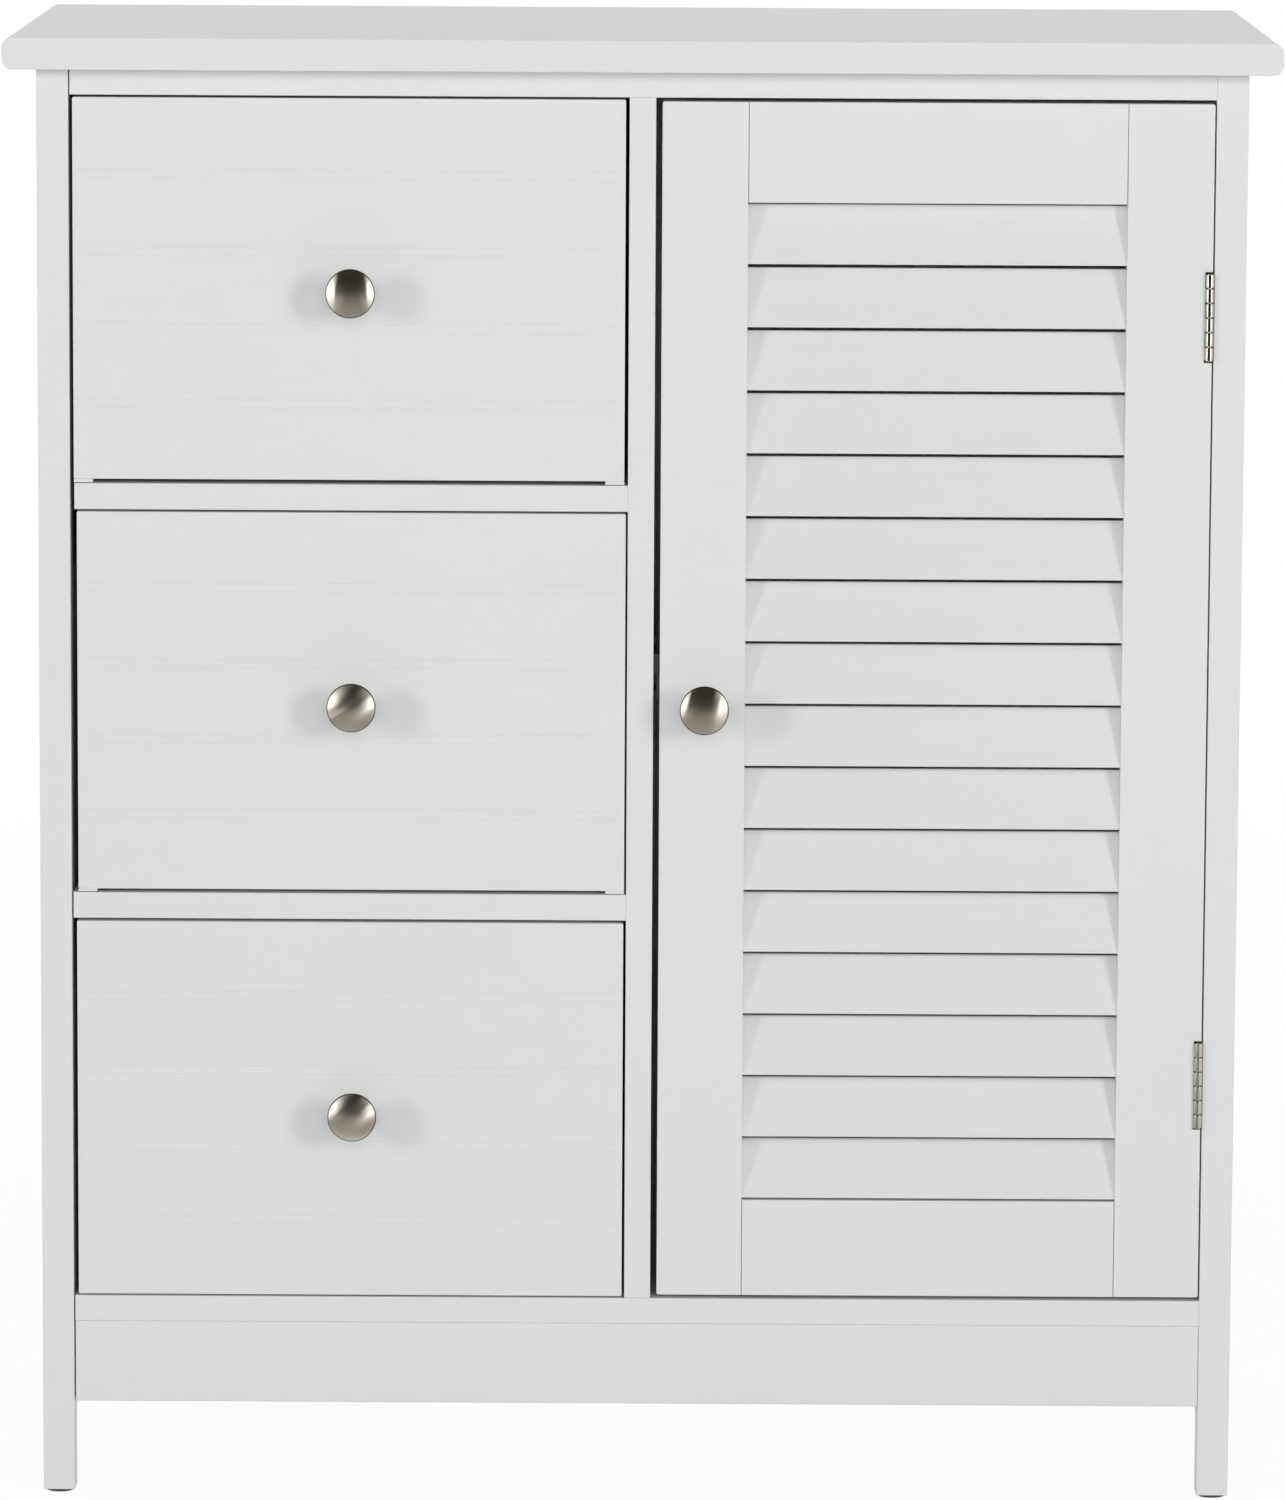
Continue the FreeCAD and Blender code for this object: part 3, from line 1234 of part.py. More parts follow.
def frame_hinge_holes(body):
    """Pilot holes in the right side panel for the screws of both frame leaves."""
    screws = [("leaf_screw_y", f"{z} - glide_thickness") for z in HINGE_SCREW_LEVELS]
    cut(body, "YZ", "0", 1, "short_screw_length - leaf_thickness + hole_end_play",
        holes("screw_hole_radius", screws))


# ---------------------------------------------------------------- magnetic catch

def catch_case():
    """The catch's plastic case on the divider: a block that holds the magnet and a flange behind it."""
    low, high = "-catch_height / 2", "catch_height / 2"
    body = new_piece("magnetic_catch_case", ("divider_right", behind_front("catch_y"), "catch_z"))
    pad(body, "XY", low, 1, "catch_height", [[
        ("0", "0"),
        ("catch_width", "0"),
        ("catch_width", "catch_case_depth"),
        ("catch_flange_thickness", "catch_case_depth"),
        ("catch_flange_thickness", "catch_length"),
        ("0", "catch_length"),
    ]])
    socket = rectangle("magnet_x - magnet_play", "-magnet_height / 2 - magnet_play",
                       "magnet_x + magnet_width + magnet_play", "magnet_height / 2 + magnet_play")
    cut(body, "XZ", "0", 1, "magnet_depth - magnet_proud", [socket])
    countersink(body, "YZ", "catch_flange_thickness", -1,
                [("catch_screw_y", "0"), ("catch_screw_y + catch_screw_spacing", "0")])
    return body


def catch_magnet():
    body = new_piece("catch_magnet",
                     ("divider_right + magnet_x", behind_front("catch_y - magnet_proud"), "catch_z"))
    pad(body, "XY", "-magnet_height / 2", 1, "magnet_height",
        [rectangle("0", "0", "magnet_width", "magnet_depth")])
    return body


def strike_plate():
    """The thin steel plate on the back of the door that the magnet holds."""
    body = new_piece("catch_strike_plate", ("strike_x", behind_front("door_thickness"), "catch_z"))
    pad(body, "XY", "-strike_height / 2", 1, "strike_height",
        [rectangle("0", "0", "strike_width", "strike_thickness")])
    countersink(body, "XZ", "strike_thickness", -1,
                [("strike_width / 2", f"{sign}strike_screw_spacing / 2") for sign in ("-", "")])
    return body


def carcass_small_screws():
    """The screws of the hinges' frame leaves and of the catch's case."""
    leaf_face = "hinge_axis_x + leaf_inner"
    places = [(leaf_face, behind_front("leaf_screw_y"), z, RIGHT) for z in HINGE_SCREW_LEVELS]
    flange_face = "divider_right + catch_flange_thickness"
    places += [(flange_face, behind_front(y), "catch_z", LEFT) for y in CATCH_SCREW_ROWS]
    group("carcass_small_screws", short_screw, places)


# ---------------------------------------------------------------- the whole cabinet

top_panel()
side_panel("left_side_panel", "inner_left - side_thickness", 1, ("lower_shelf_z", "upper_shelf_z"))
right_panel = side_panel("right_side_panel", "inner_right", -1, ())
pin_holes(right_panel, "0", 1, "glide_thickness")
frame_hinge_holes(right_panel)
centre_divider()
bottom_board()
top_rail("top_front_rail", "0", RAIL_DOWELS[0], RAIL_CAMS[0], False)
top_rail("top_back_rail", "back_rail_y", f"({RAIL_DOWELS[1]})", f"({RAIL_CAMS[1]})", True)
drawer_shelf("upper")
drawer_shelf("lower")
plinth_board()
back_panel()
door_bay_shelf()
shelf_pins()
foot_glides()
carcass_dowels()
cam_fittings()
back_panel_nails()

for drawer in DRAWERS:
    drawer_unit(drawer)

left_stile()
right_stile()
door_rail("door_top_rail", "top_rail_bottom")
door_rail("door_bottom_rail", "door_bottom")
louvre_slats()
knob("door_knob", "door_knob_x", "door_knob_z")
door_fasteners()

for hinge in ("upper", "lower"):
    hinge_leaf(f"{hinge}_hinge_frame_leaf", f"{hinge}_hinge_z", 1, 0)
    hinge_leaf(f"{hinge}_hinge_door_leaf", f"{hinge}_hinge_z", -1, 1)
hinge_pins()
catch_case()
catch_magnet()
strike_plate()
carcass_small_screws()

doc.recompute()
for item in doc.Objects:
    if "Invalid" in item.State or "Error" in item.State:
        raise RuntimeError(f"{item.Label}: {item.State}")
for piece in pieces:
    if piece.Shape.isNull() or not piece.Shape.isValid():
        raise RuntimeError(f"{piece.Label} has no valid shape")

os.makedirs("parts", exist_ok=True)
for piece in pieces:
    piece.Shape.exportStep(f"parts/{piece.Label}.step")
print(len(pieces), "pieces")
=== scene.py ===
import math

import bmesh
import bpy
from mathutils import Matrix, Vector


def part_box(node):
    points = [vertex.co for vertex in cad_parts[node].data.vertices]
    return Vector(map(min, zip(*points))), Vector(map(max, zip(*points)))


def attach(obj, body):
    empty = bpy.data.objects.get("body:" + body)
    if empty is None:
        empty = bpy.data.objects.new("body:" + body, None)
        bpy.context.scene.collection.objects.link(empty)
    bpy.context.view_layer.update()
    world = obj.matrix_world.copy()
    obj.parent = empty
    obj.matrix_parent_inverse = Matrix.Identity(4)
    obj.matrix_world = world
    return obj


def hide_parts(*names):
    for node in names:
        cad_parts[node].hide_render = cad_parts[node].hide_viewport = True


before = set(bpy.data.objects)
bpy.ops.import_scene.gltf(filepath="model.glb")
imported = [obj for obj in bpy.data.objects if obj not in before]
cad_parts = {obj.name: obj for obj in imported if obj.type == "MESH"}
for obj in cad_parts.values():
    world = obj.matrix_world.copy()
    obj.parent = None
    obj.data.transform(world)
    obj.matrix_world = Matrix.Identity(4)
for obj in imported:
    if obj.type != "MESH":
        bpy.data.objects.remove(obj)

scene = bpy.context.scene
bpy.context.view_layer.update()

# ------------------------------------------------------------------ camera
# A long lens about four metres in front of the cabinet and a little above its top, looking slightly
# down, so that the top panel shows as a thin band and the uprights stay nearly parallel.

eye = bpy.data.cameras.new("studio_camera")
eye.sensor_fit = "VERTICAL"
eye.sensor_height = 36
eye.lens = 194.86
camera = bpy.data.objects.new("studio_camera", eye)
camera_place = (0.00784, -3.94936, 0.91293)
turn, tilt, roll = (math.radians(angle) for angle in (0.0945, 90 - 8.1964, 0.2926))
camera.matrix_world = (Matrix.Translation(camera_place) @ Matrix.Rotation(turn, 4, "Z")
                       @ Matrix.Rotation(tilt, 4, "X") @ Matrix.Rotation(roll, 4, "Z"))
scene.collection.objects.link(camera)
scene.camera = camera
scene.view_settings.view_transform = "Standard"


# ------------------------------------------------------------------ floor and studio light
# A white studio: a pale floor and surround, a soft box at either side, a broad fill behind the camera
# and a dim lamp overhead.  A black cloth in front, a dark grey one above, a white card at either side and
# a grey mat on the floor show in polished surfaces only, and give the metal its dark and light parts.

def linear(code):
    """A colour's sRGB hex code as a linear RGBA value."""
    parts = [int(code[i:i + 2], 16) / 255 for i in (1, 3, 5)]
    return [c / 12.92 if c <= 0.04045 else ((c + 0.055) / 1.055) ** 2.4 for c in parts] + [1]


def add(tree, kind, settings=None, links=None):
    """A new node with its settings and with links from other nodes' sockets to its inputs."""
    made = tree.nodes.new(kind)
    for name, value in (settings or {}).items():
        if isinstance(name, str) and hasattr(made, name):
            setattr(made, name, value)
        else:
            made.inputs[name].default_value = value
    for name, source in (links or {}).items():
        tree.links.new(source, made.inputs[name])
    return made


def empty_tree(owner):
    """The owner's node tree with nothing in it."""
    owner.use_nodes = True
    owner.node_tree.nodes.clear()
    return owner.node_tree


def shown_directly(tree):
    """One for rays from the camera, from a reflection or through glass, and nought for light."""
    rays = add(tree, "ShaderNodeLightPath")
    seen = add(tree, "ShaderNodeMath", {"operation": "MAXIMUM"},
               {0: rays.outputs["Is Camera Ray"], 1: rays.outputs["Is Transmission Ray"]})
    return add(tree, "ShaderNodeMath", {"operation": "MAXIMUM"},
               {0: seen.outputs[0], 1: rays.outputs["Is Glossy Ray"]})


# The surround lights the cabinet faintly from all sides, and is itself seen as plain white.
surround = bpy.data.worlds.new("white_surround")
scene.world = surround
tree = empty_tree(surround)
glow = add(tree, "ShaderNodeBackground", {"Color": linear("#FCFDFF"), "Strength": 0.31})
white = add(tree, "ShaderNodeBackground", {"Color": linear("#FFFFFF"), "Strength": 1.0})
mixed = add(tree, "ShaderNodeMixShader", {},
            {0: shown_directly(tree).outputs[0], 1: glow.outputs[0], 2: white.outputs[0]})
add(tree, "ShaderNodeOutputWorld", {}, {"Surface": mixed.outputs[0]})


def sheet(name, place, target, wide, tall, material):
    """A flat piece of studio gear that faces its target."""
    form = bmesh.new()
    bmesh.ops.create_grid(form, x_segments=1, y_segments=1, size=0.5)
    bmesh.ops.scale(form, vec=(wide, tall, 1), verts=form.verts)
    aim = Vector(target) - Vector(place)
    turned = aim.to_track_quat("Z", "Y").to_matrix().to_4x4()
    bmesh.ops.transform(form, matrix=Matrix.Translation(place) @ turned, verts=form.verts)
    mesh = bpy.data.meshes.new(name)
    form.to_mesh(mesh)
    form.free()
    mesh.materials.append(material)
    made = bpy.data.objects.new(name, mesh)
    scene.collection.objects.link(made)
    return made


# Matt white paper: it keeps a pale shadow round the legs and fades to plain white farther out.
paper = bpy.data.materials.new("white seamless paper")
tree = empty_tree(paper)
matt = add(tree, "ShaderNodeBsdfDiffuse", {"Color": linear("#EFEFEF")})
bright = add(tree, "ShaderNodeEmission", {"Color": linear("#FFFFFF"), "Strength": 1.0})
away = add(tree, "ShaderNodeVectorMath", {"operation": "LENGTH"},
           {0: add(tree, "ShaderNodeTexCoord").outputs["Object"]})
fade = add(tree, "ShaderNodeMapRange", {"From Min": 0.6, "From Max": 2.4, "To Min": 0.955, "To Max": 1.0},
           {"Value": away.outputs["Value"]})
share = add(tree, "ShaderNodeMath", {"operation": "MULTIPLY"},
            {0: shown_directly(tree).outputs[0], 1: fade.outputs[0]})
mixed = add(tree, "ShaderNodeMixShader", {},
            {0: share.outputs[0], 1: matt.outputs[0], 2: bright.outputs[0]})
add(tree, "ShaderNodeOutputMaterial", {}, {"Surface": mixed.outputs[0]})
sheet("studio_floor", (0, 0, 0), (0, 0, 1), 14, 14, paper)


def shown_tone(name, colour, strength):
    """What a polished surface shows of a piece of studio gear, whatever light falls on it."""
    made = bpy.data.materials.new(name)
    tree = empty_tree(made)
    tone = add(tree, "ShaderNodeEmission", {"Color": linear(colour), "Strength": strength})
    add(tree, "ShaderNodeOutputMaterial", {}, {"Surface": tone.outputs[0]})
    return made


# The cloths make the dark upper part of a knob's reflection, the cards its bright sides and the mat its
# grey lower half.
black = shown_tone("black studio cloth", "#2D2923", 1.0)
dim = shown_tone("dark grey studio cloth", "#423D36", 1.0)
card = shown_tone("white studio card", "#FFFFFF", 3.9)
mat = shown_tone("grey studio mat", "#B2B0AC", 1.0)
for gear in (sheet("cloth_in_front", (-0.12, -2.5, 2.0), (-0.12, 0, 2.0), 3.9, 4.0, black),
             sheet("cloth_overhead", (-0.12, -1.0, 3.1), (-0.12, -1.0, 0), 3.9, 3.4, dim),
             sheet("card_at_left", (-2.95, -2.2, 0.85), (-0.1, -0.15, 0.85), 1.6, 1.7, card),
             sheet("card_at_right", (2.5, -2.3, 0.8), (-0.1, -0.15, 0.8), 1.6, 1.6, card),
             sheet("mat_in_front", (-0.05, -1.35, 0.004), (-0.05, -1.35, 1), 1.3, 2.2, mat)):
    gear.visible_camera = gear.visible_diffuse = gear.visible_transmission = gear.visible_shadow = False


def soft_box(name, place, target, wide, tall, watts):
    """A rectangular studio lamp that faces its target and doesn't show in reflections."""
    lamp = bpy.data.lights.new(name, "AREA")
    lamp.shape = "RECTANGLE"
    lamp.size, lamp.size_y = wide, tall
    lamp.energy = watts
    stand = bpy.data.objects.new(name, lamp)
    aim = Vector(target) - Vector(place)
    stand.matrix_world = Matrix.Translation(place) @ aim.to_track_quat("-Z", "Y").to_matrix().to_4x4()
    stand.visible_glossy = False
    scene.collection.objects.link(stand)


middle_of_front = (0, -0.13, 0.4)
soft_box("left_soft_box", (-3.13, -2.95, 1.15), middle_of_front, 0.75, 1.1, 33.9)
soft_box("right_soft_box", (2.26, -2.95, 1.15), middle_of_front, 0.75, 1.1, 32.9)
soft_box("front_fill", (0, -4.6, 1.6), middle_of_front, 2.4, 1.6, 48.8)
soft_box("overhead_fill", (0, 0.4, 2.6), (0, 0, 0.7), 1.6, 1.2, 11)


# ------------------------------------------------------------------ top panel
# Fibreboard, 15 mm thick, with a 5 mm round routed along both side edges, the front edge just eased, and
# sprayed with white satin lacquer.  Cams hold it to the side panels from inside, so its face is unbroken.

def per_metre(size):
    """How often a pattern of the given size in millimetres comes in a metre, which is its scale."""
    return 1000 / size


def lacquer(name, face, shade, roughness):
    """Sprayed acrylic lacquer on fibreboard: an even satin white, faintly cloudy over 140 mm, with a
    roughness that drifts a little over 40 mm and an orange peel of about 1.6 mm."""
    made = bpy.data.materials.new(name)
    tree = empty_tree(made)
    place = add(tree, "ShaderNodeTexCoord").outputs["Object"]
    cloud = add(tree, "ShaderNodeTexNoise", {"Scale": per_metre(143), "Detail": 2, "Roughness": 0.5},
                {"Vector": place})
    tone = add(tree, "ShaderNodeMix", {"data_type": "RGBA", 6: linear(face), 7: linear(shade)},
               {0: cloud.outputs["Fac"]})
    drift = add(tree, "ShaderNodeTexNoise", {"Scale": per_metre(41.7), "Detail": 3}, {"Vector": place})
    rough = add(tree, "ShaderNodeMapRange", {"To Min": roughness - 0.04, "To Max": roughness + 0.04},
                {"Value": drift.outputs["Fac"]})
    peel = add(tree, "ShaderNodeTexNoise", {"Scale": per_metre(1.613), "Detail": 1.5}, {"Vector": place})
    bump = add(tree, "ShaderNodeBump", {"Strength": 0.35, "Distance": 0.00002},
               {"Height": peel.outputs["Fac"]})
    skin = add(tree, "ShaderNodeBsdfPrincipled", {"IOR": 1.47},
               {"Base Color": tone.outputs[2], "Roughness": rough.outputs[0], "Normal": bump.outputs[0]})
    add(tree, "ShaderNodeOutputMaterial", {}, {"Surface": skin.outputs[0]})
    return made


crisp_from = math.radians(38)


def finished_piece(name, form, material, body, *nodes):
    """The form becomes a mesh with even flats, rounded edges and crisp arrises, which rides on the body
    and stands for the nodes."""
    mesh = bpy.data.meshes.new(name)
    form.to_mesh(mesh)
    form.free()
    mesh.shade_smooth()
    mesh.set_sharp_from_angle(angle=crisp_from)
    mesh.materials.append(material)
    piece = bpy.data.objects.new(name, mesh)
    scene.collection.objects.link(piece)
    flats = piece.modifiers.new("flats", "WEIGHTED_NORMAL")
    flats.keep_sharp = True
    flats.weight = 100
    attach(piece, body)
    if nodes:
        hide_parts(*nodes)
    return piece


def blank(node):
    """A rectangular blank as large as a node's box."""
    low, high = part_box(node)
    form = bmesh.new()
    bmesh.ops.create_cube(form, size=1)
    size = high - low
    bmesh.ops.scale(form, vec=size, verts=form.verts)
    bmesh.ops.translate(form, vec=(low + high) / 2, verts=form.verts)
    return form, low, high


def round_over(form, edges, radius, segments):
    """Rounds the edges by the radius."""
    bmesh.ops.bevel(form, geom=edges, offset=radius, segments=segments, profile=0.5,
                    affect="EDGES", material=-1)


def near(a, b):
    """True when two places are within a hundredth of a millimetre."""
    return abs(a - b) < 1e-5


white_lacquer = lacquer("white satin acrylic lacquer on fibreboard", "#E5E6E4", "#E2E3E1", 0.38)
top_side_radius = 0.005
top_front_radius = 0.0005

form, low, high = blank("top_panel")
sides = [e for e in form.edges if not near(e.verts[0].co.y, e.verts[1].co.y)]
round_over(form, sides, top_side_radius, 8)
rim = [e for e in form.edges if all(near(v.co.y, low.y) for v in e.verts)]
round_over(form, rim, top_front_radius, 3)
piece = finished_piece("top_panel_lacquered", form, white_lacquer, "carcass", "top_panel")


# ------------------------------------------------------------------ carcass boards
# Side panels, divider, shelves, rails and plinth of the same lacquered fibreboard, their front edges
# eased with a fine sanding.  Dowels and cams hold them, and each butt joint shows as a hairline.

def dress(material, *nodes):
    """The nodes keep their shape and get the material."""
    for name in nodes:
        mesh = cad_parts[name].data
        mesh.materials.clear()
        mesh.materials.append(material)


dress(white_lacquer, "left_side_panel", "right_side_panel", "centre_divider", "top_front_rail",
      "top_back_rail", "bottom_board", "upper_drawer_shelf", "lower_drawer_shelf", "plinth_board",
      "door_bay_shelf")


# ------------------------------------------------------------------ back panel and drawer bottoms
# Hardboard, 3 mm thick, pressed from brown wood fibre: white foil on the smooth face that is seen
# inside, and the bare screen-marked face behind and below.

def hardboard(name, foil_side):
    """Foil white and fairly smooth where the surface faces foil_side, and elsewhere a dull brown with
    fibres about 8 mm long and the dimples of a 2 mm wire screen."""
    made = bpy.data.materials.new(name)
    tree = empty_tree(made)
    place = add(tree, "ShaderNodeTexCoord").outputs["Object"]
    facing = add(tree, "ShaderNodeVectorMath", {"operation": "DOT_PRODUCT", 1: foil_side},
                 {0: add(tree, "ShaderNodeNewGeometry").outputs["True Normal"]})
    foiled = add(tree, "ShaderNodeMath", {"operation": "GREATER_THAN", 1: 0.5},
                 {0: facing.outputs["Value"]})
    fibres = add(tree, "ShaderNodeTexNoise", {"Scale": per_metre(7.69), "Detail": 6, "Roughness": 0.7},
                 {"Vector": place})
    brown = add(tree, "ShaderNodeMix",
                {"data_type": "RGBA", 6: linear("#7A5A3C"), 7: linear("#A5825C")},
                {0: fibres.outputs["Fac"]})
    colour = add(tree, "ShaderNodeMix", {"data_type": "RGBA", 7: linear("#E3E4E1")},
                 {0: foiled.outputs[0], 6: brown.outputs[2]})
    rough = add(tree, "ShaderNodeMapRange", {"To Min": 0.85, "To Max": 0.4}, {"Value": foiled.outputs[0]})
    screen = add(tree, "ShaderNodeTexVoronoi", {"Scale": per_metre(2), "Randomness": 0.15},
                 {"Vector": place})
    depth = add(tree, "ShaderNodeMath", {"operation": "MULTIPLY_ADD", 1: -0.9, 2: 1.0},
                {0: foiled.outputs[0]})
    dimple = add(tree, "ShaderNodeBump", {"Distance": 0.00015},
                 {"Strength": depth.outputs[0], "Height": screen.outputs["Distance"]})
    skin = add(tree, "ShaderNodeBsdfPrincipled", {"IOR": 1.45},
               {"Base Color": colour.outputs[2], "Roughness": rough.outputs[0],
                "Normal": dimple.outputs[0]})
    add(tree, "ShaderNodeOutputMaterial", {}, {"Surface": skin.outputs[0]})
    return made


dress(hardboard("hardboard, white foil on its front", (0, -1, 0)), "back_panel")
dress(hardboard("hardboard, white foil on its top", (0, 0, 1)),
      "upper_drawer_bottom", "middle_drawer_bottom", "lower_drawer_bottom")


# ------------------------------------------------------------------ dowels
# Grooved beech dowels, 6 mm thick.  Only the ends that are driven through the drawers' sides show, as
# round spots of end grain.

# Bare beech looks pale and dry, with flecks of about 1 mm and rings some 2 mm apart, about three to
# each length of the wave.
beech = bpy.data.materials.new("bare turned beech")
tree = empty_tree(beech)
place = add(tree, "ShaderNodeTexCoord").outputs["Object"]
flecks = add(tree, "ShaderNodeTexNoise", {"Scale": per_metre(1.1111), "Detail": 4, "Roughness": 0.6},
             {"Vector": place})
rings = add(tree, "ShaderNodeTexWave", {"Scale": per_metre(6.25), "Distortion": 3, "Detail": 2},
            {"Vector": place})
grain = add(tree, "ShaderNodeMath", {"operation": "MULTIPLY_ADD", 1: 0.4},
            {0: rings.outputs["Fac"], 2: flecks.outputs["Fac"]})
colour = add(tree, "ShaderNodeMix", {"data_type": "RGBA", 6: linear("#C79F72"), 7: linear("#E0C29A")},
             {0: grain.outputs[0]})
bump = add(tree, "ShaderNodeBump", {"Strength": 0.4, "Distance": 0.00004}, {"Height": grain.outputs[0]})
skin = add(tree, "ShaderNodeBsdfPrincipled", {"Roughness": 0.62, "IOR": 1.45},
           {"Base Color": colour.outputs[2], "Normal": bump.outputs[0]})
add(tree, "ShaderNodeOutputMaterial", {}, {"Surface": skin.outputs[0]})
dress(beech, "carcass_dowels", "door_dowels", "upper_drawer_dowels", "middle_drawer_dowels",
      "lower_drawer_dowels")


# ------------------------------------------------------------------ cams, bolts, screws, nails and pins
# Die-cast zinc cams, and steel bolts, screws, nails, shelf pins and a strike plate, all with a bright
# zinc plating that is slightly mottled.

def plated(name, light, dark, roughness, grit, relief):
    """Bare or plated metal: mirror-like where it is smooth, with a mottle of tone and sheen and a fine
    relief, whose grit is given in millimetres."""
    made = bpy.data.materials.new(name)
    tree = empty_tree(made)
    place = add(tree, "ShaderNodeTexCoord").outputs["Object"]
    mottle = add(tree, "ShaderNodeTexNoise", {"Scale": per_metre(grit), "Detail": 4}, {"Vector": place})
    colour = add(tree, "ShaderNodeMix", {"data_type": "RGBA", 6: linear(light), 7: linear(dark)},
                 {0: mottle.outputs["Fac"]})
    rough = add(tree, "ShaderNodeMapRange", {"To Min": roughness - 0.06, "To Max": roughness + 0.08},
                {"Value": mottle.outputs["Fac"]})
    bump = add(tree, "ShaderNodeBump", {"Strength": 0.3, "Distance": relief},
               {"Height": mottle.outputs["Fac"]})
    skin = add(tree, "ShaderNodeBsdfPrincipled", {"Metallic": 1.0},
               {"Base Color": colour.outputs[2], "Roughness": rough.outputs[0], "Normal": bump.outputs[0]})
    add(tree, "ShaderNodeOutputMaterial", {}, {"Surface": skin.outputs[0]})
    return made


# Raw castings are dull and grey, and the plated steel is brighter, bluish and more even.
dress(plated("raw die-cast zinc", "#B4B5B7", "#8F9092", 0.48, 0.9, 0.00004), "cam_locks")
zinc_plate = plated("bright zinc plated steel", "#C9CBCE", "#AEB1B6", 0.27, 1.4, 0.00001)
dress(zinc_plate, "cam_bolts", "carcass_small_screws", "door_small_screws", "door_knob_screw",
      "upper_drawer_knob_screw", "middle_drawer_knob_screw", "lower_drawer_knob_screw",
      "back_panel_nails", "shelf_pins", "catch_strike_plate")


# ------------------------------------------------------------------ glides, catch case and magnet
# Moulded polyethylene glides nailed under the legs, a moulded catch case on the divider, and a
# sintered ferrite magnet that stands one millimetre out of it.

def moulded(name, colour, roughness):
    """Moulded or pressed parts of one colour, half matt from the grain of their mould, which is drawn
    0.4 mm coarse so that it shows."""
    made = bpy.data.materials.new(name)
    tree = empty_tree(made)
    place = add(tree, "ShaderNodeTexCoord").outputs["Object"]
    spark = add(tree, "ShaderNodeTexNoise", {"Scale": per_metre(0.4), "Detail": 2}, {"Vector": place})
    bump = add(tree, "ShaderNodeBump", {"Strength": 0.3, "Distance": 0.00003},
               {"Height": spark.outputs["Fac"]})
    skin = add(tree, "ShaderNodeBsdfPrincipled",
               {"Base Color": linear(colour), "Roughness": roughness, "IOR": 1.5},
               {"Normal": bump.outputs[0]})
    add(tree, "ShaderNodeOutputMaterial", {}, {"Surface": skin.outputs[0]})
    return made


dress(moulded("moulded dark grey polyethylene", "#3A3A37", 0.5), "foot_glides")
dress(moulded("moulded brown-grey polystyrene", "#8C8A80", 0.4), "magnetic_catch_case")
dress(moulded("sintered ferrite", "#26262A", 0.6), "catch_magnet")


# ------------------------------------------------------------------ drawer boxes
# Sides and back of 9 mm fibreboard, lacquered like the carcass and joined by dowels that are driven
# through the sides.  The sides' lower edges slide on the boards below.

dress(white_lacquer, *[f"{name}_drawer_{part}" for name in ("upper", "middle", "lower")
                       for part in ("left_side", "right_side", "back")])


# ------------------------------------------------------------------ drawer fronts
# Lacquered fibreboard, 15 mm thick, with rounded corners and edges.  Four beads, each between two fine
# cuts that were routed before spraying, divide the face into five equal boards.

# Each cut's middle lies bead_cut_place from the bead's middle.  Its section is given as places across
# it, in half widths, with the share of its depth there.  It ends bead_stop from the front's side edges,
# and rises to the face over bead_run_out.
boards_shown = 5
bead_cut_place = 0.00205
bead_cut_half_width = 0.0008
bead_cut_depth = 0.00035
bead_cut_section = ((-1, 0), (-0.55, 0.35), (-0.2, 0.92), (0.2, 0.92), (0.55, 0.35), (1, 0))
bead_stop = 0.003
bead_run_out = 0.0015
front_corner_radius = 0.0008
front_edge_radius = 0.0005

for name in ("upper", "middle", "lower"):
    form, low, high = blank(f"{name}_drawer_front")
    upright = [e for e in form.edges if near(e.verts[0].co.x, e.verts[1].co.x)
               and near(e.verts[0].co.z, e.verts[1].co.z)]
    round_over(form, upright, front_corner_radius, 4)
    rims = [e for e in form.edges if near(e.verts[0].co.y, e.verts[1].co.y)]
    round_over(form, rims, front_edge_radius, 4)
    levels = [low.z + (high.z - low.z) * board / boards_shown for board in range(1, boards_shown)]
    depth_at = {level + side * bead_cut_place + offset * bead_cut_half_width: depth * bead_cut_depth
                for level in levels for side in (-1, 1) for offset, depth in bead_cut_section}
    cuts = [((0, 0, level), (0, 0, 1)) for level in depth_at]
    cuts += [((edge + inward * run, 0, 0), (1, 0, 0)) for edge, inward in ((low.x, 1), (high.x, -1))
             for run in (bead_stop, bead_stop + bead_run_out)]
    for point, normal in cuts:
        face = [f for f in form.faces if all(near(v.co.y, low.y) for v in f.verts)]
        around = [*dict.fromkeys(e for f in face for e in f.edges),
                  *dict.fromkeys(v for f in face for v in f.verts)]
        bmesh.ops.bisect_plane(form, geom=around + face, plane_co=point, plane_no=normal, dist=1e-6)
    full_depth = bead_stop + bead_run_out / 2
    for vert in form.verts:
        inside = low.x + full_depth < vert.co.x < high.x - full_depth
        if inside and near(vert.co.y, low.y):
            nearest = min(depth_at, key=lambda level: abs(level - vert.co.z))
            if near(nearest, vert.co.z):
                vert.co.y += depth_at[nearest]
    piece = finished_piece(f"{name}_drawer_front_beaded", form, white_lacquer, f"{name}_drawer",
                           f"{name}_drawer_front")


# ------------------------------------------------------------------ drawer side toes
# The sides of the two upper drawers run on under the front as short toes, 9 mm wide, which show as pale
# spots in the gap above the shelf.

toe_height = 0.0017
toe_setback = 0.0006
toe_clearance = 0.0003
toe_edge_radius = 0.0002

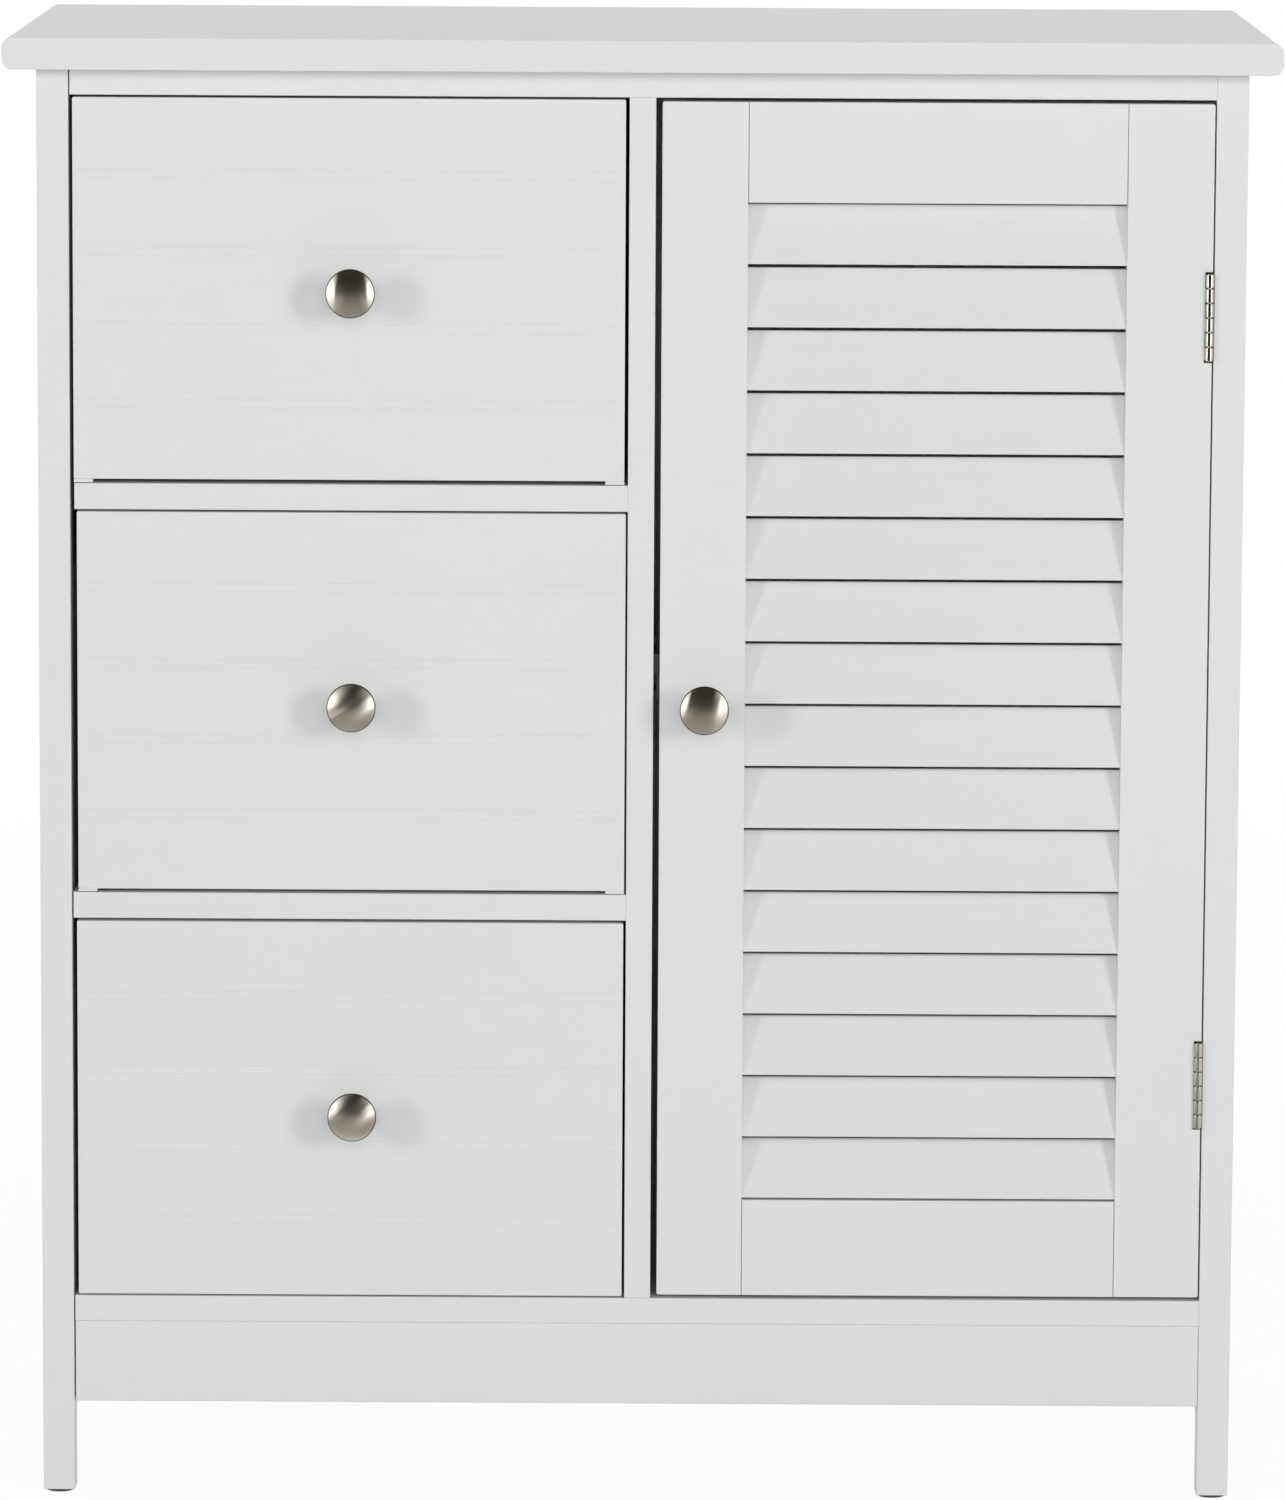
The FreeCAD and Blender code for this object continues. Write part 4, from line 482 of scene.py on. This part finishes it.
for name in ("upper", "middle"):
    front_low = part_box(f"{name}_drawer_front")[0]
    form = bmesh.new()
    for side in ("left", "right"):
        side_low, side_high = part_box(f"{name}_drawer_{side}_side")
        foot = max(front_low.z - toe_height, side_low.z + toe_clearance)
        toe = bmesh.ops.create_cube(form, size=1)["verts"]
        bmesh.ops.scale(form, vec=(side_high.x - side_low.x, side_low.y - front_low.y - toe_setback,
                                   front_low.z - foot), verts=toe)
        bmesh.ops.translate(form, vec=((side_low.x + side_high.x) / 2,
                                       (side_low.y + front_low.y + toe_setback) / 2,
                                       (front_low.z + foot) / 2), verts=toe)
    round_over(form, list(form.edges), toe_edge_radius, 2)
    piece = finished_piece(f"{name}_drawer_side_toes", form, white_lacquer, f"{name}_drawer")


# ------------------------------------------------------------------ door frame
# Two stiles and two rails of lacquered fibreboard, dowelled together.  The outer edge is rounded, the
# hinges are let into the right stile, and a fine quirk is left open where each rail meets a stile.

quirk_width = 0.00042
quirk_depth = 0.0015
door_edge_radius = 0.0005
door_corner_radius = 0.0010
stile_inner_radius = 0.0002
rail_inner_radius = 0.0004
hinge_margin = 0.00075


def prism(outline, along):
    """A solid whose flat end has the outline and whose length and direction are along."""
    form = bmesh.new()
    end = form.faces.new([form.verts.new(point) for point in outline])
    grown = bmesh.ops.extrude_face_region(form, geom=[end])
    moved = [item for item in grown["geom"] if isinstance(item, bmesh.types.BMVert)]
    bmesh.ops.translate(form, vec=along, verts=moved)
    bmesh.ops.recalc_face_normals(form, faces=form.faces)
    return form


def lies(edge, **places):
    """True when both ends of the edge are at each of the places given by axis."""
    return all(near(getattr(vert.co, axis), place) for vert in edge.verts for axis, place in places.items())


# The housings of the hinges in the right stile: the place of their floor, and each one's two ends.
hinge_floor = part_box("upper_hinge_door_leaf")[0].x
hinge_levels = [(low.z - hinge_margin, high.z + hinge_margin)
                for low, high in (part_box("lower_hinge_door_leaf"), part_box("upper_hinge_door_leaf"))]

for node in ("door_left_stile", "door_right_stile"):
    low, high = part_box(node)
    outline = [(low.x, low.y, low.z), (high.x, low.y, low.z)]
    if node == "door_right_stile":
        for bottom, top in hinge_levels:
            outline += [(high.x, low.y, bottom), (hinge_floor, low.y, bottom),
                        (hinge_floor, low.y, top), (high.x, low.y, top)]
    outline += [(high.x, low.y, high.z), (low.x, low.y, high.z)]
    form = prism(outline, (0, high.y - low.y, 0))
    outer, inner = (low.x, high.x) if node == "door_left_stile" else (high.x, low.x)
    corners = [e for z in (low.z, high.z) for e in form.edges if lies(e, x=outer, z=z)]
    round_over(form, corners, door_corner_radius, 4)
    rims = [e for e in form.edges if lies(e, y=low.y) and not lies(e, x=inner)
            and not any(near(v.co.x, hinge_floor) for v in e.verts)]
    round_over(form, rims, door_edge_radius, 4)
    round_over(form, [e for e in form.edges if lies(e, x=inner, y=low.y)], stile_inner_radius, 2)
    piece = finished_piece(f"{node}_lacquered", form, white_lacquer, "door", node)

for node in ("door_top_rail", "door_bottom_rail"):
    low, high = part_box(node)
    left, right, quirk = low.x + quirk_width, high.x - quirk_width, low.y + quirk_depth
    outline = [(left, low.y, low.z), (right, low.y, low.z), (right, quirk, low.z), (high.x, quirk, low.z),
               (high.x, high.y, low.z), (low.x, high.y, low.z), (low.x, quirk, low.z), (left, quirk, low.z)]
    form = prism(outline, (0, 0, high.z - low.z))
    outer, inner = (high.z, low.z) if node == "door_top_rail" else (low.z, high.z)
    round_over(form, [e for e in form.edges if lies(e, y=low.y, z=outer)], door_edge_radius, 4)
    round_over(form, [e for e in form.edges if lies(e, y=low.y, z=inner)], rail_inner_radius, 3)
    piece = finished_piece(f"{node}_lacquered", form, white_lacquer, "door", node)


# ------------------------------------------------------------------ louvre slats
# Sixteen fixed slats, 5 mm thick and leaning back 17 degrees, lacquered before they are glued into the
# stiles' housings.  Their arrises are rounded over by about half a millimetre.

slat_count = 16
slat_gap = 0.0019
slat_tilt = math.radians(17)
slat_thickness = 0.005
slat_edge_radius = 0.0006

slat_lacquer = lacquer("white satin acrylic lacquer on slats", "#E4E5E4", "#E1E2E1", 0.38)
low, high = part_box("louvre_slats")
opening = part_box("door_top_rail")[0].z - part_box("door_bottom_rail")[1].z
slat_pitch = opening / slat_count
rise = slat_pitch - slat_gap
lean = rise * math.tan(slat_tilt)
slat_section = ((0, 0), (slat_thickness / math.cos(slat_tilt), 0),
                (lean + slat_thickness * math.cos(slat_tilt), rise - slat_thickness * math.sin(slat_tilt)),
                (lean, rise))
form = prism([(low.x, low.y + back, low.z + up) for back, up in slat_section], (high.x - low.x, 0, 0))
round_over(form, [e for e in form.edges if near(e.verts[0].co.y, e.verts[1].co.y)
                  and near(e.verts[0].co.z, e.verts[1].co.z)], slat_edge_radius, 3)
one_slat = list(form.verts) + list(form.edges) + list(form.faces)
for index in range(1, slat_count):
    made = bmesh.ops.duplicate(form, geom=one_slat)
    copied = [item for item in made["geom"] if isinstance(item, bmesh.types.BMVert)]
    bmesh.ops.translate(form, vec=(0, 0, index * slat_pitch), verts=copied)
piece = finished_piece("louvre_slats_lacquered", form, slat_lacquer, "door", "louvre_slats")


# ------------------------------------------------------------------ knobs
# Turned zinc knobs, nickel plated.  The low dome is brushed in straight lines to a satin finish, and
# each knob is screwed on until it is tight, so the brushing of each points another way.

# The foot and stem as radius and height above the front, from the middle of the foot outwards.
knob_foot = ((0, 0), (0.0062, 0), (0.00642, 0.0001), (0.0065, 0.0004), (0.0065, 0.0016), (0.0064, 0.0019),
             (0.0060, 0.0022), (0.0053, 0.0029), (0.0048, 0.0036), (0.00455, 0.0044), (0.0045, 0.0055),
             (0.0045, 0.0145))
flare_radius = 0.012
knob_radius = 0.0116
rim_bottom, rim_top = 0.0205, 0.0219
rim_ease = 0.00045
rim_chamfer = 0.00012
dome_step = 0.0001
# The width of the rim band painted dark as shade for the knob's outline, and how far below the rim it
# starts.
painted_dark_rim_width = 0.0005
painted_dark_rim_margin = 0.0002
projection = 0.025
knob_sides = 72
# The way across the brush lines of each knob's dome, in degrees up from the right.
brushed_ways = {"upper_drawer_knob": 90, "middle_drawer_knob": 38, "lower_drawer_knob": 40, "door_knob": 70}


def arc(start, end, radius, steps):
    """Points from start to end on an arc that bends to the left of the way there."""
    start, end = Vector(start), Vector(end)
    half = (end - start).length / 2
    across = Vector((-(end - start).y, (end - start).x)).normalized()
    centre = (start + end) / 2 + across * math.sqrt(radius ** 2 - half ** 2)
    sweep = 2 * math.asin(half / radius)
    spoke = start - centre
    return [tuple(centre + Matrix.Rotation(sweep * step / steps, 2) @ spoke) for step in range(steps + 1)]


def brushed(name, light, dark, roughness):
    """Plated metal under straight brush lines, drawn 0.12 mm wide so that they just show.  They follow
    the piece's own map, whose U runs across them: a reflection is drawn out along U, and stays narrow
    along the lines."""
    made = bpy.data.materials.new(name)
    tree = empty_tree(made)
    unwrapped = add(tree, "ShaderNodeUVMap", {"uv_map": "brushing"}).outputs[0]
    stretched = add(tree, "ShaderNodeMapping", {"Scale": (per_metre(0.12048), per_metre(7.69), 1)},
                    {"Vector": unwrapped})
    lines = add(tree, "ShaderNodeTexNoise", {"Scale": 1.0, "Detail": 3, "Roughness": 0.6},
                {"Vector": stretched.outputs[0]})
    colour = add(tree, "ShaderNodeMix", {"data_type": "RGBA", 6: linear(dark), 7: linear(light)},
                 {0: lines.outputs["Fac"]})
    rough = add(tree, "ShaderNodeMapRange", {"To Min": roughness - 0.04, "To Max": roughness + 0.05},
                {"Value": lines.outputs["Fac"]})
    bump = add(tree, "ShaderNodeBump", {"Strength": 0.2, "Distance": 0.000004},
               {"Height": lines.outputs["Fac"]})
    along = add(tree, "ShaderNodeTangent", {"direction_type": "UV_MAP", "uv_map": "brushing"})
    skin = add(tree, "ShaderNodeBsdfPrincipled", {"Metallic": 1.0, "Anisotropic": 1.0},
               {"Base Color": colour.outputs[2], "Roughness": rough.outputs[0], "Normal": bump.outputs[0],
                "Tangent": along.outputs[0]})
    add(tree, "ShaderNodeOutputMaterial", {}, {"Surface": skin.outputs[0]})
    return made


def map_brushing(form, centre, way):
    """The brushing map in metres: straight over the dome and foot, turned by way, and round the stem,
    where it follows the turning marks."""
    across = Vector((math.cos(math.radians(way)), 0, math.sin(math.radians(way))))
    lines = Vector((-across.z, 0, across.x))
    stem_scale = 0.01
    faces_front = 0.3
    brushing = form.loops.layers.uv.new("brushing")
    for face in form.faces:
        middle = face.calc_center_median() - centre
        turn = math.atan2(middle.z, middle.x)
        for loop in face.loops:
            arm = loop.vert.co - centre
            if abs(face.normal.y) > faces_front:
                loop[brushing].uv = (arm.dot(across), arm.dot(lines))
            else:
                angle = math.atan2(arm.z, arm.x)
                angle += 2 * math.pi * round((turn - angle) / (2 * math.pi))
                loop[brushing].uv = (arm.y, angle * stem_scale)


# Nickel is a warm grey.  Brushing keeps it bright but draws the lamps out into soft bands.  The outermost
# band of the rim
#  gets a much darker nickel, painted shade that draws a thin dark outline round each knob.
nickel = brushed("straight-brushed satin nickel", "#D0C9BE", "#BDB6AB", 0.24)
painted_dark_rim_nickel = brushed("dark nickel of the rim, a painted dark outline", "#5E584E", "#4C473F", 0.4)

profile = list(knob_foot)
profile += arc((knob_radius, rim_bottom), profile[-1], flare_radius, 10)[-2:0:-1]
profile += [(knob_radius - rim_ease * (1 - math.sin(t)), rim_bottom + rim_ease * (1 - math.cos(t)))
            for t in (0, math.pi / 6, math.pi / 3, math.pi / 2)]
shoulder = (knob_radius - rim_ease, rim_top + dome_step)
profile += [(knob_radius, rim_top - rim_ease), (knob_radius - rim_chamfer, rim_top - rim_chamfer), shoulder]
dome_height = projection - shoulder[1]
dome_radius = (shoulder[0] ** 2 + dome_height ** 2) / (2 * dome_height)
profile += arc(shoulder, (0, projection), dome_radius, 14)[1:]

for node, way in brushed_ways.items():
    low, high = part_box(node)
    centre = Vector(((low.x + high.x) / 2, high.y, (low.z + high.z) / 2))
    form = bmesh.new()
    chain = [form.verts.new(centre + Vector((r, -h, 0))) for r, h in profile]
    line = [form.edges.new(pair) for pair in zip(chain, chain[1:])]
    bmesh.ops.spin(form, geom=chain + line, cent=centre, axis=(0, -1, 0), angle=2 * math.pi,
                   steps=knob_sides, use_merge=True)
    bmesh.ops.remove_doubles(form, verts=form.verts, dist=1e-6)
    bmesh.ops.recalc_face_normals(form, faces=form.faces)
    map_brushing(form, centre, way)
    for face in form.faces:
        face.smooth = True
        middle = face.calc_center_median() - centre
        # The outermost band of the rim takes the dark nickel, painted shade for the knob's dark outline.
        outermost = math.hypot(middle.x, middle.z) > knob_radius - painted_dark_rim_width
        if outermost and -middle.y > rim_bottom - painted_dark_rim_margin:
            face.material_index = 1
    mesh = bpy.data.meshes.new(f"{node}_turned")
    form.to_mesh(mesh)
    form.free()
    mesh.materials.append(nickel)
    mesh.materials.append(painted_dark_rim_nickel)
    piece = bpy.data.objects.new(f"{node}_turned", mesh)
    scene.collection.objects.link(piece)
    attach(piece, node.replace("_knob", "") if node != "door_knob" else "door")
    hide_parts(node)


# ------------------------------------------------------------------ hinges
# Butt hinges pressed from 1 mm steel and nickel flashed.  Each leaf has three knuckles, rolled round
# the pin with slightly rounded ends, and two countersunk holes.

knuckle_count = 6
knuckle_gap = 0.0004
knuckle_round = 0.00045
barrel_radius = 0.002
bore_radius = 0.00105
barrel_sides = 40
leaf_thickness = 0.001
leaf_reach = 0.0022
leaf_start, leaf_end = 0.0024, 0.014
leaf_corner = 0.001
screw_row = 0.0085
screw_inset = 0.010
screw_radius, sink_radius = 0.00155, 0.00255
screw_sides = 24


def leaf_outline(tall):
    """The flat of a leaf as depth behind the pin and height, with its two rear corners rounded."""
    outline = [(leaf_start, 0)]
    for level, begin in ((leaf_corner, -90), (tall - leaf_corner, 0)):
        for turn in (0, 30, 60, 90):
            angle = math.radians(begin + turn)
            outline.append((leaf_end - leaf_corner + leaf_corner * math.cos(angle),
                            level + leaf_corner * math.sin(angle)))
    return outline + [(leaf_start, tall)]


def knuckle_section(bottom, top):
    """The wall of a knuckle as radius and height, with each outer corner rounded in two steps."""
    flat_end = barrel_radius - knuckle_round
    part_out, part_up = 0.7 * knuckle_round, 0.3 * knuckle_round
    return [(bore_radius, bottom), (flat_end, bottom), (flat_end + part_out, bottom + part_up),
            (barrel_radius, bottom + knuckle_round), (barrel_radius, top - knuckle_round),
            (flat_end + part_out, top - part_up), (flat_end, top), (bore_radius, top)]


def closed_line(form, points):
    """The edges of a closed line through the points, and its vertices."""
    verts = [form.verts.new(point) for point in points]
    return [form.edges.new(pair) for pair in zip(verts, verts[1:] + verts[:1])], verts


# A thin nickel flash keeps the sheen of rolled steel: bright and warm grey, with a slight mottle.
hinge_nickel = plated("nickel flashed pressed steel", "#C4BFB3", "#B2ADA1", 0.14, 2.0, 0.000006)
pin_low, pin_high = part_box("hinge_pins")
axis = Vector(((pin_low.x + pin_high.x) / 2, (pin_low.y + pin_high.y) / 2, 0))

for hinge in ("upper", "lower"):
    for leaf, body, side, first in (("frame", "carcass", 1, 0), ("door", "door", -1, 1)):
        node = f"{hinge}_hinge_{leaf}_leaf"
        low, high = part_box(node)
        tall = high.z - low.z
        face = axis.x + side * (leaf_reach - leaf_thickness)
        form = bmesh.new()
        border = closed_line(form, [(face, axis.y + y, low.z + z) for y, z in leaf_outline(tall)])[0]
        sinks = []
        for level in (screw_inset, tall - screw_inset):
            place = Matrix.Translation((face, axis.y + screw_row, low.z + level))
            made = bmesh.ops.create_circle(form, cap_ends=False, radius=screw_radius, segments=screw_sides,
                                           matrix=place @ Matrix.Rotation(math.pi / 2, 4, "Y"))
            sinks.append((place.translation, made["verts"]))
            border += dict.fromkeys(e for v in made["verts"] for e in v.link_edges)
        filled = bmesh.ops.triangle_fill(form, use_beauty=True, use_dissolve=False, edges=border)
        grown = bmesh.ops.extrude_face_region(
            form, geom=[item for item in filled["geom"] if isinstance(item, bmesh.types.BMFace)])
        moved = [item for item in grown["geom"] if isinstance(item, bmesh.types.BMVert)]
        bmesh.ops.translate(form, vec=(side * leaf_thickness, 0, 0), verts=moved)
        for middle, verts in sinks:
            for vert in verts:
                arm = vert.co - middle
                vert.co = middle + arm * (sink_radius / screw_radius)
        knuckle = tall / knuckle_count
        for number in range(first, knuckle_count, 2):
            bottom = low.z + number * knuckle + knuckle_gap / 2
            top = bottom + knuckle - knuckle_gap
            tab = bmesh.ops.create_cube(form, size=1)["verts"]
            bmesh.ops.scale(form, vec=(leaf_thickness, leaf_start, top - bottom), verts=tab)
            bmesh.ops.translate(form, vec=(face + side * leaf_thickness / 2, axis.y + leaf_start / 2,
                                           (top + bottom) / 2), verts=tab)
            loop, chain = closed_line(form, [(axis.x + radius, axis.y, height)
                                             for radius, height in knuckle_section(bottom, top)])
            bmesh.ops.spin(form, geom=chain + loop, cent=axis, axis=(0, 0, 1), angle=2 * math.pi,
                           steps=barrel_sides, use_merge=True)
        bmesh.ops.recalc_face_normals(form, faces=form.faces)
        piece = finished_piece(f"{node}_rolled", form, hinge_nickel, body, node)

dress(hinge_nickel, "hinge_pins")
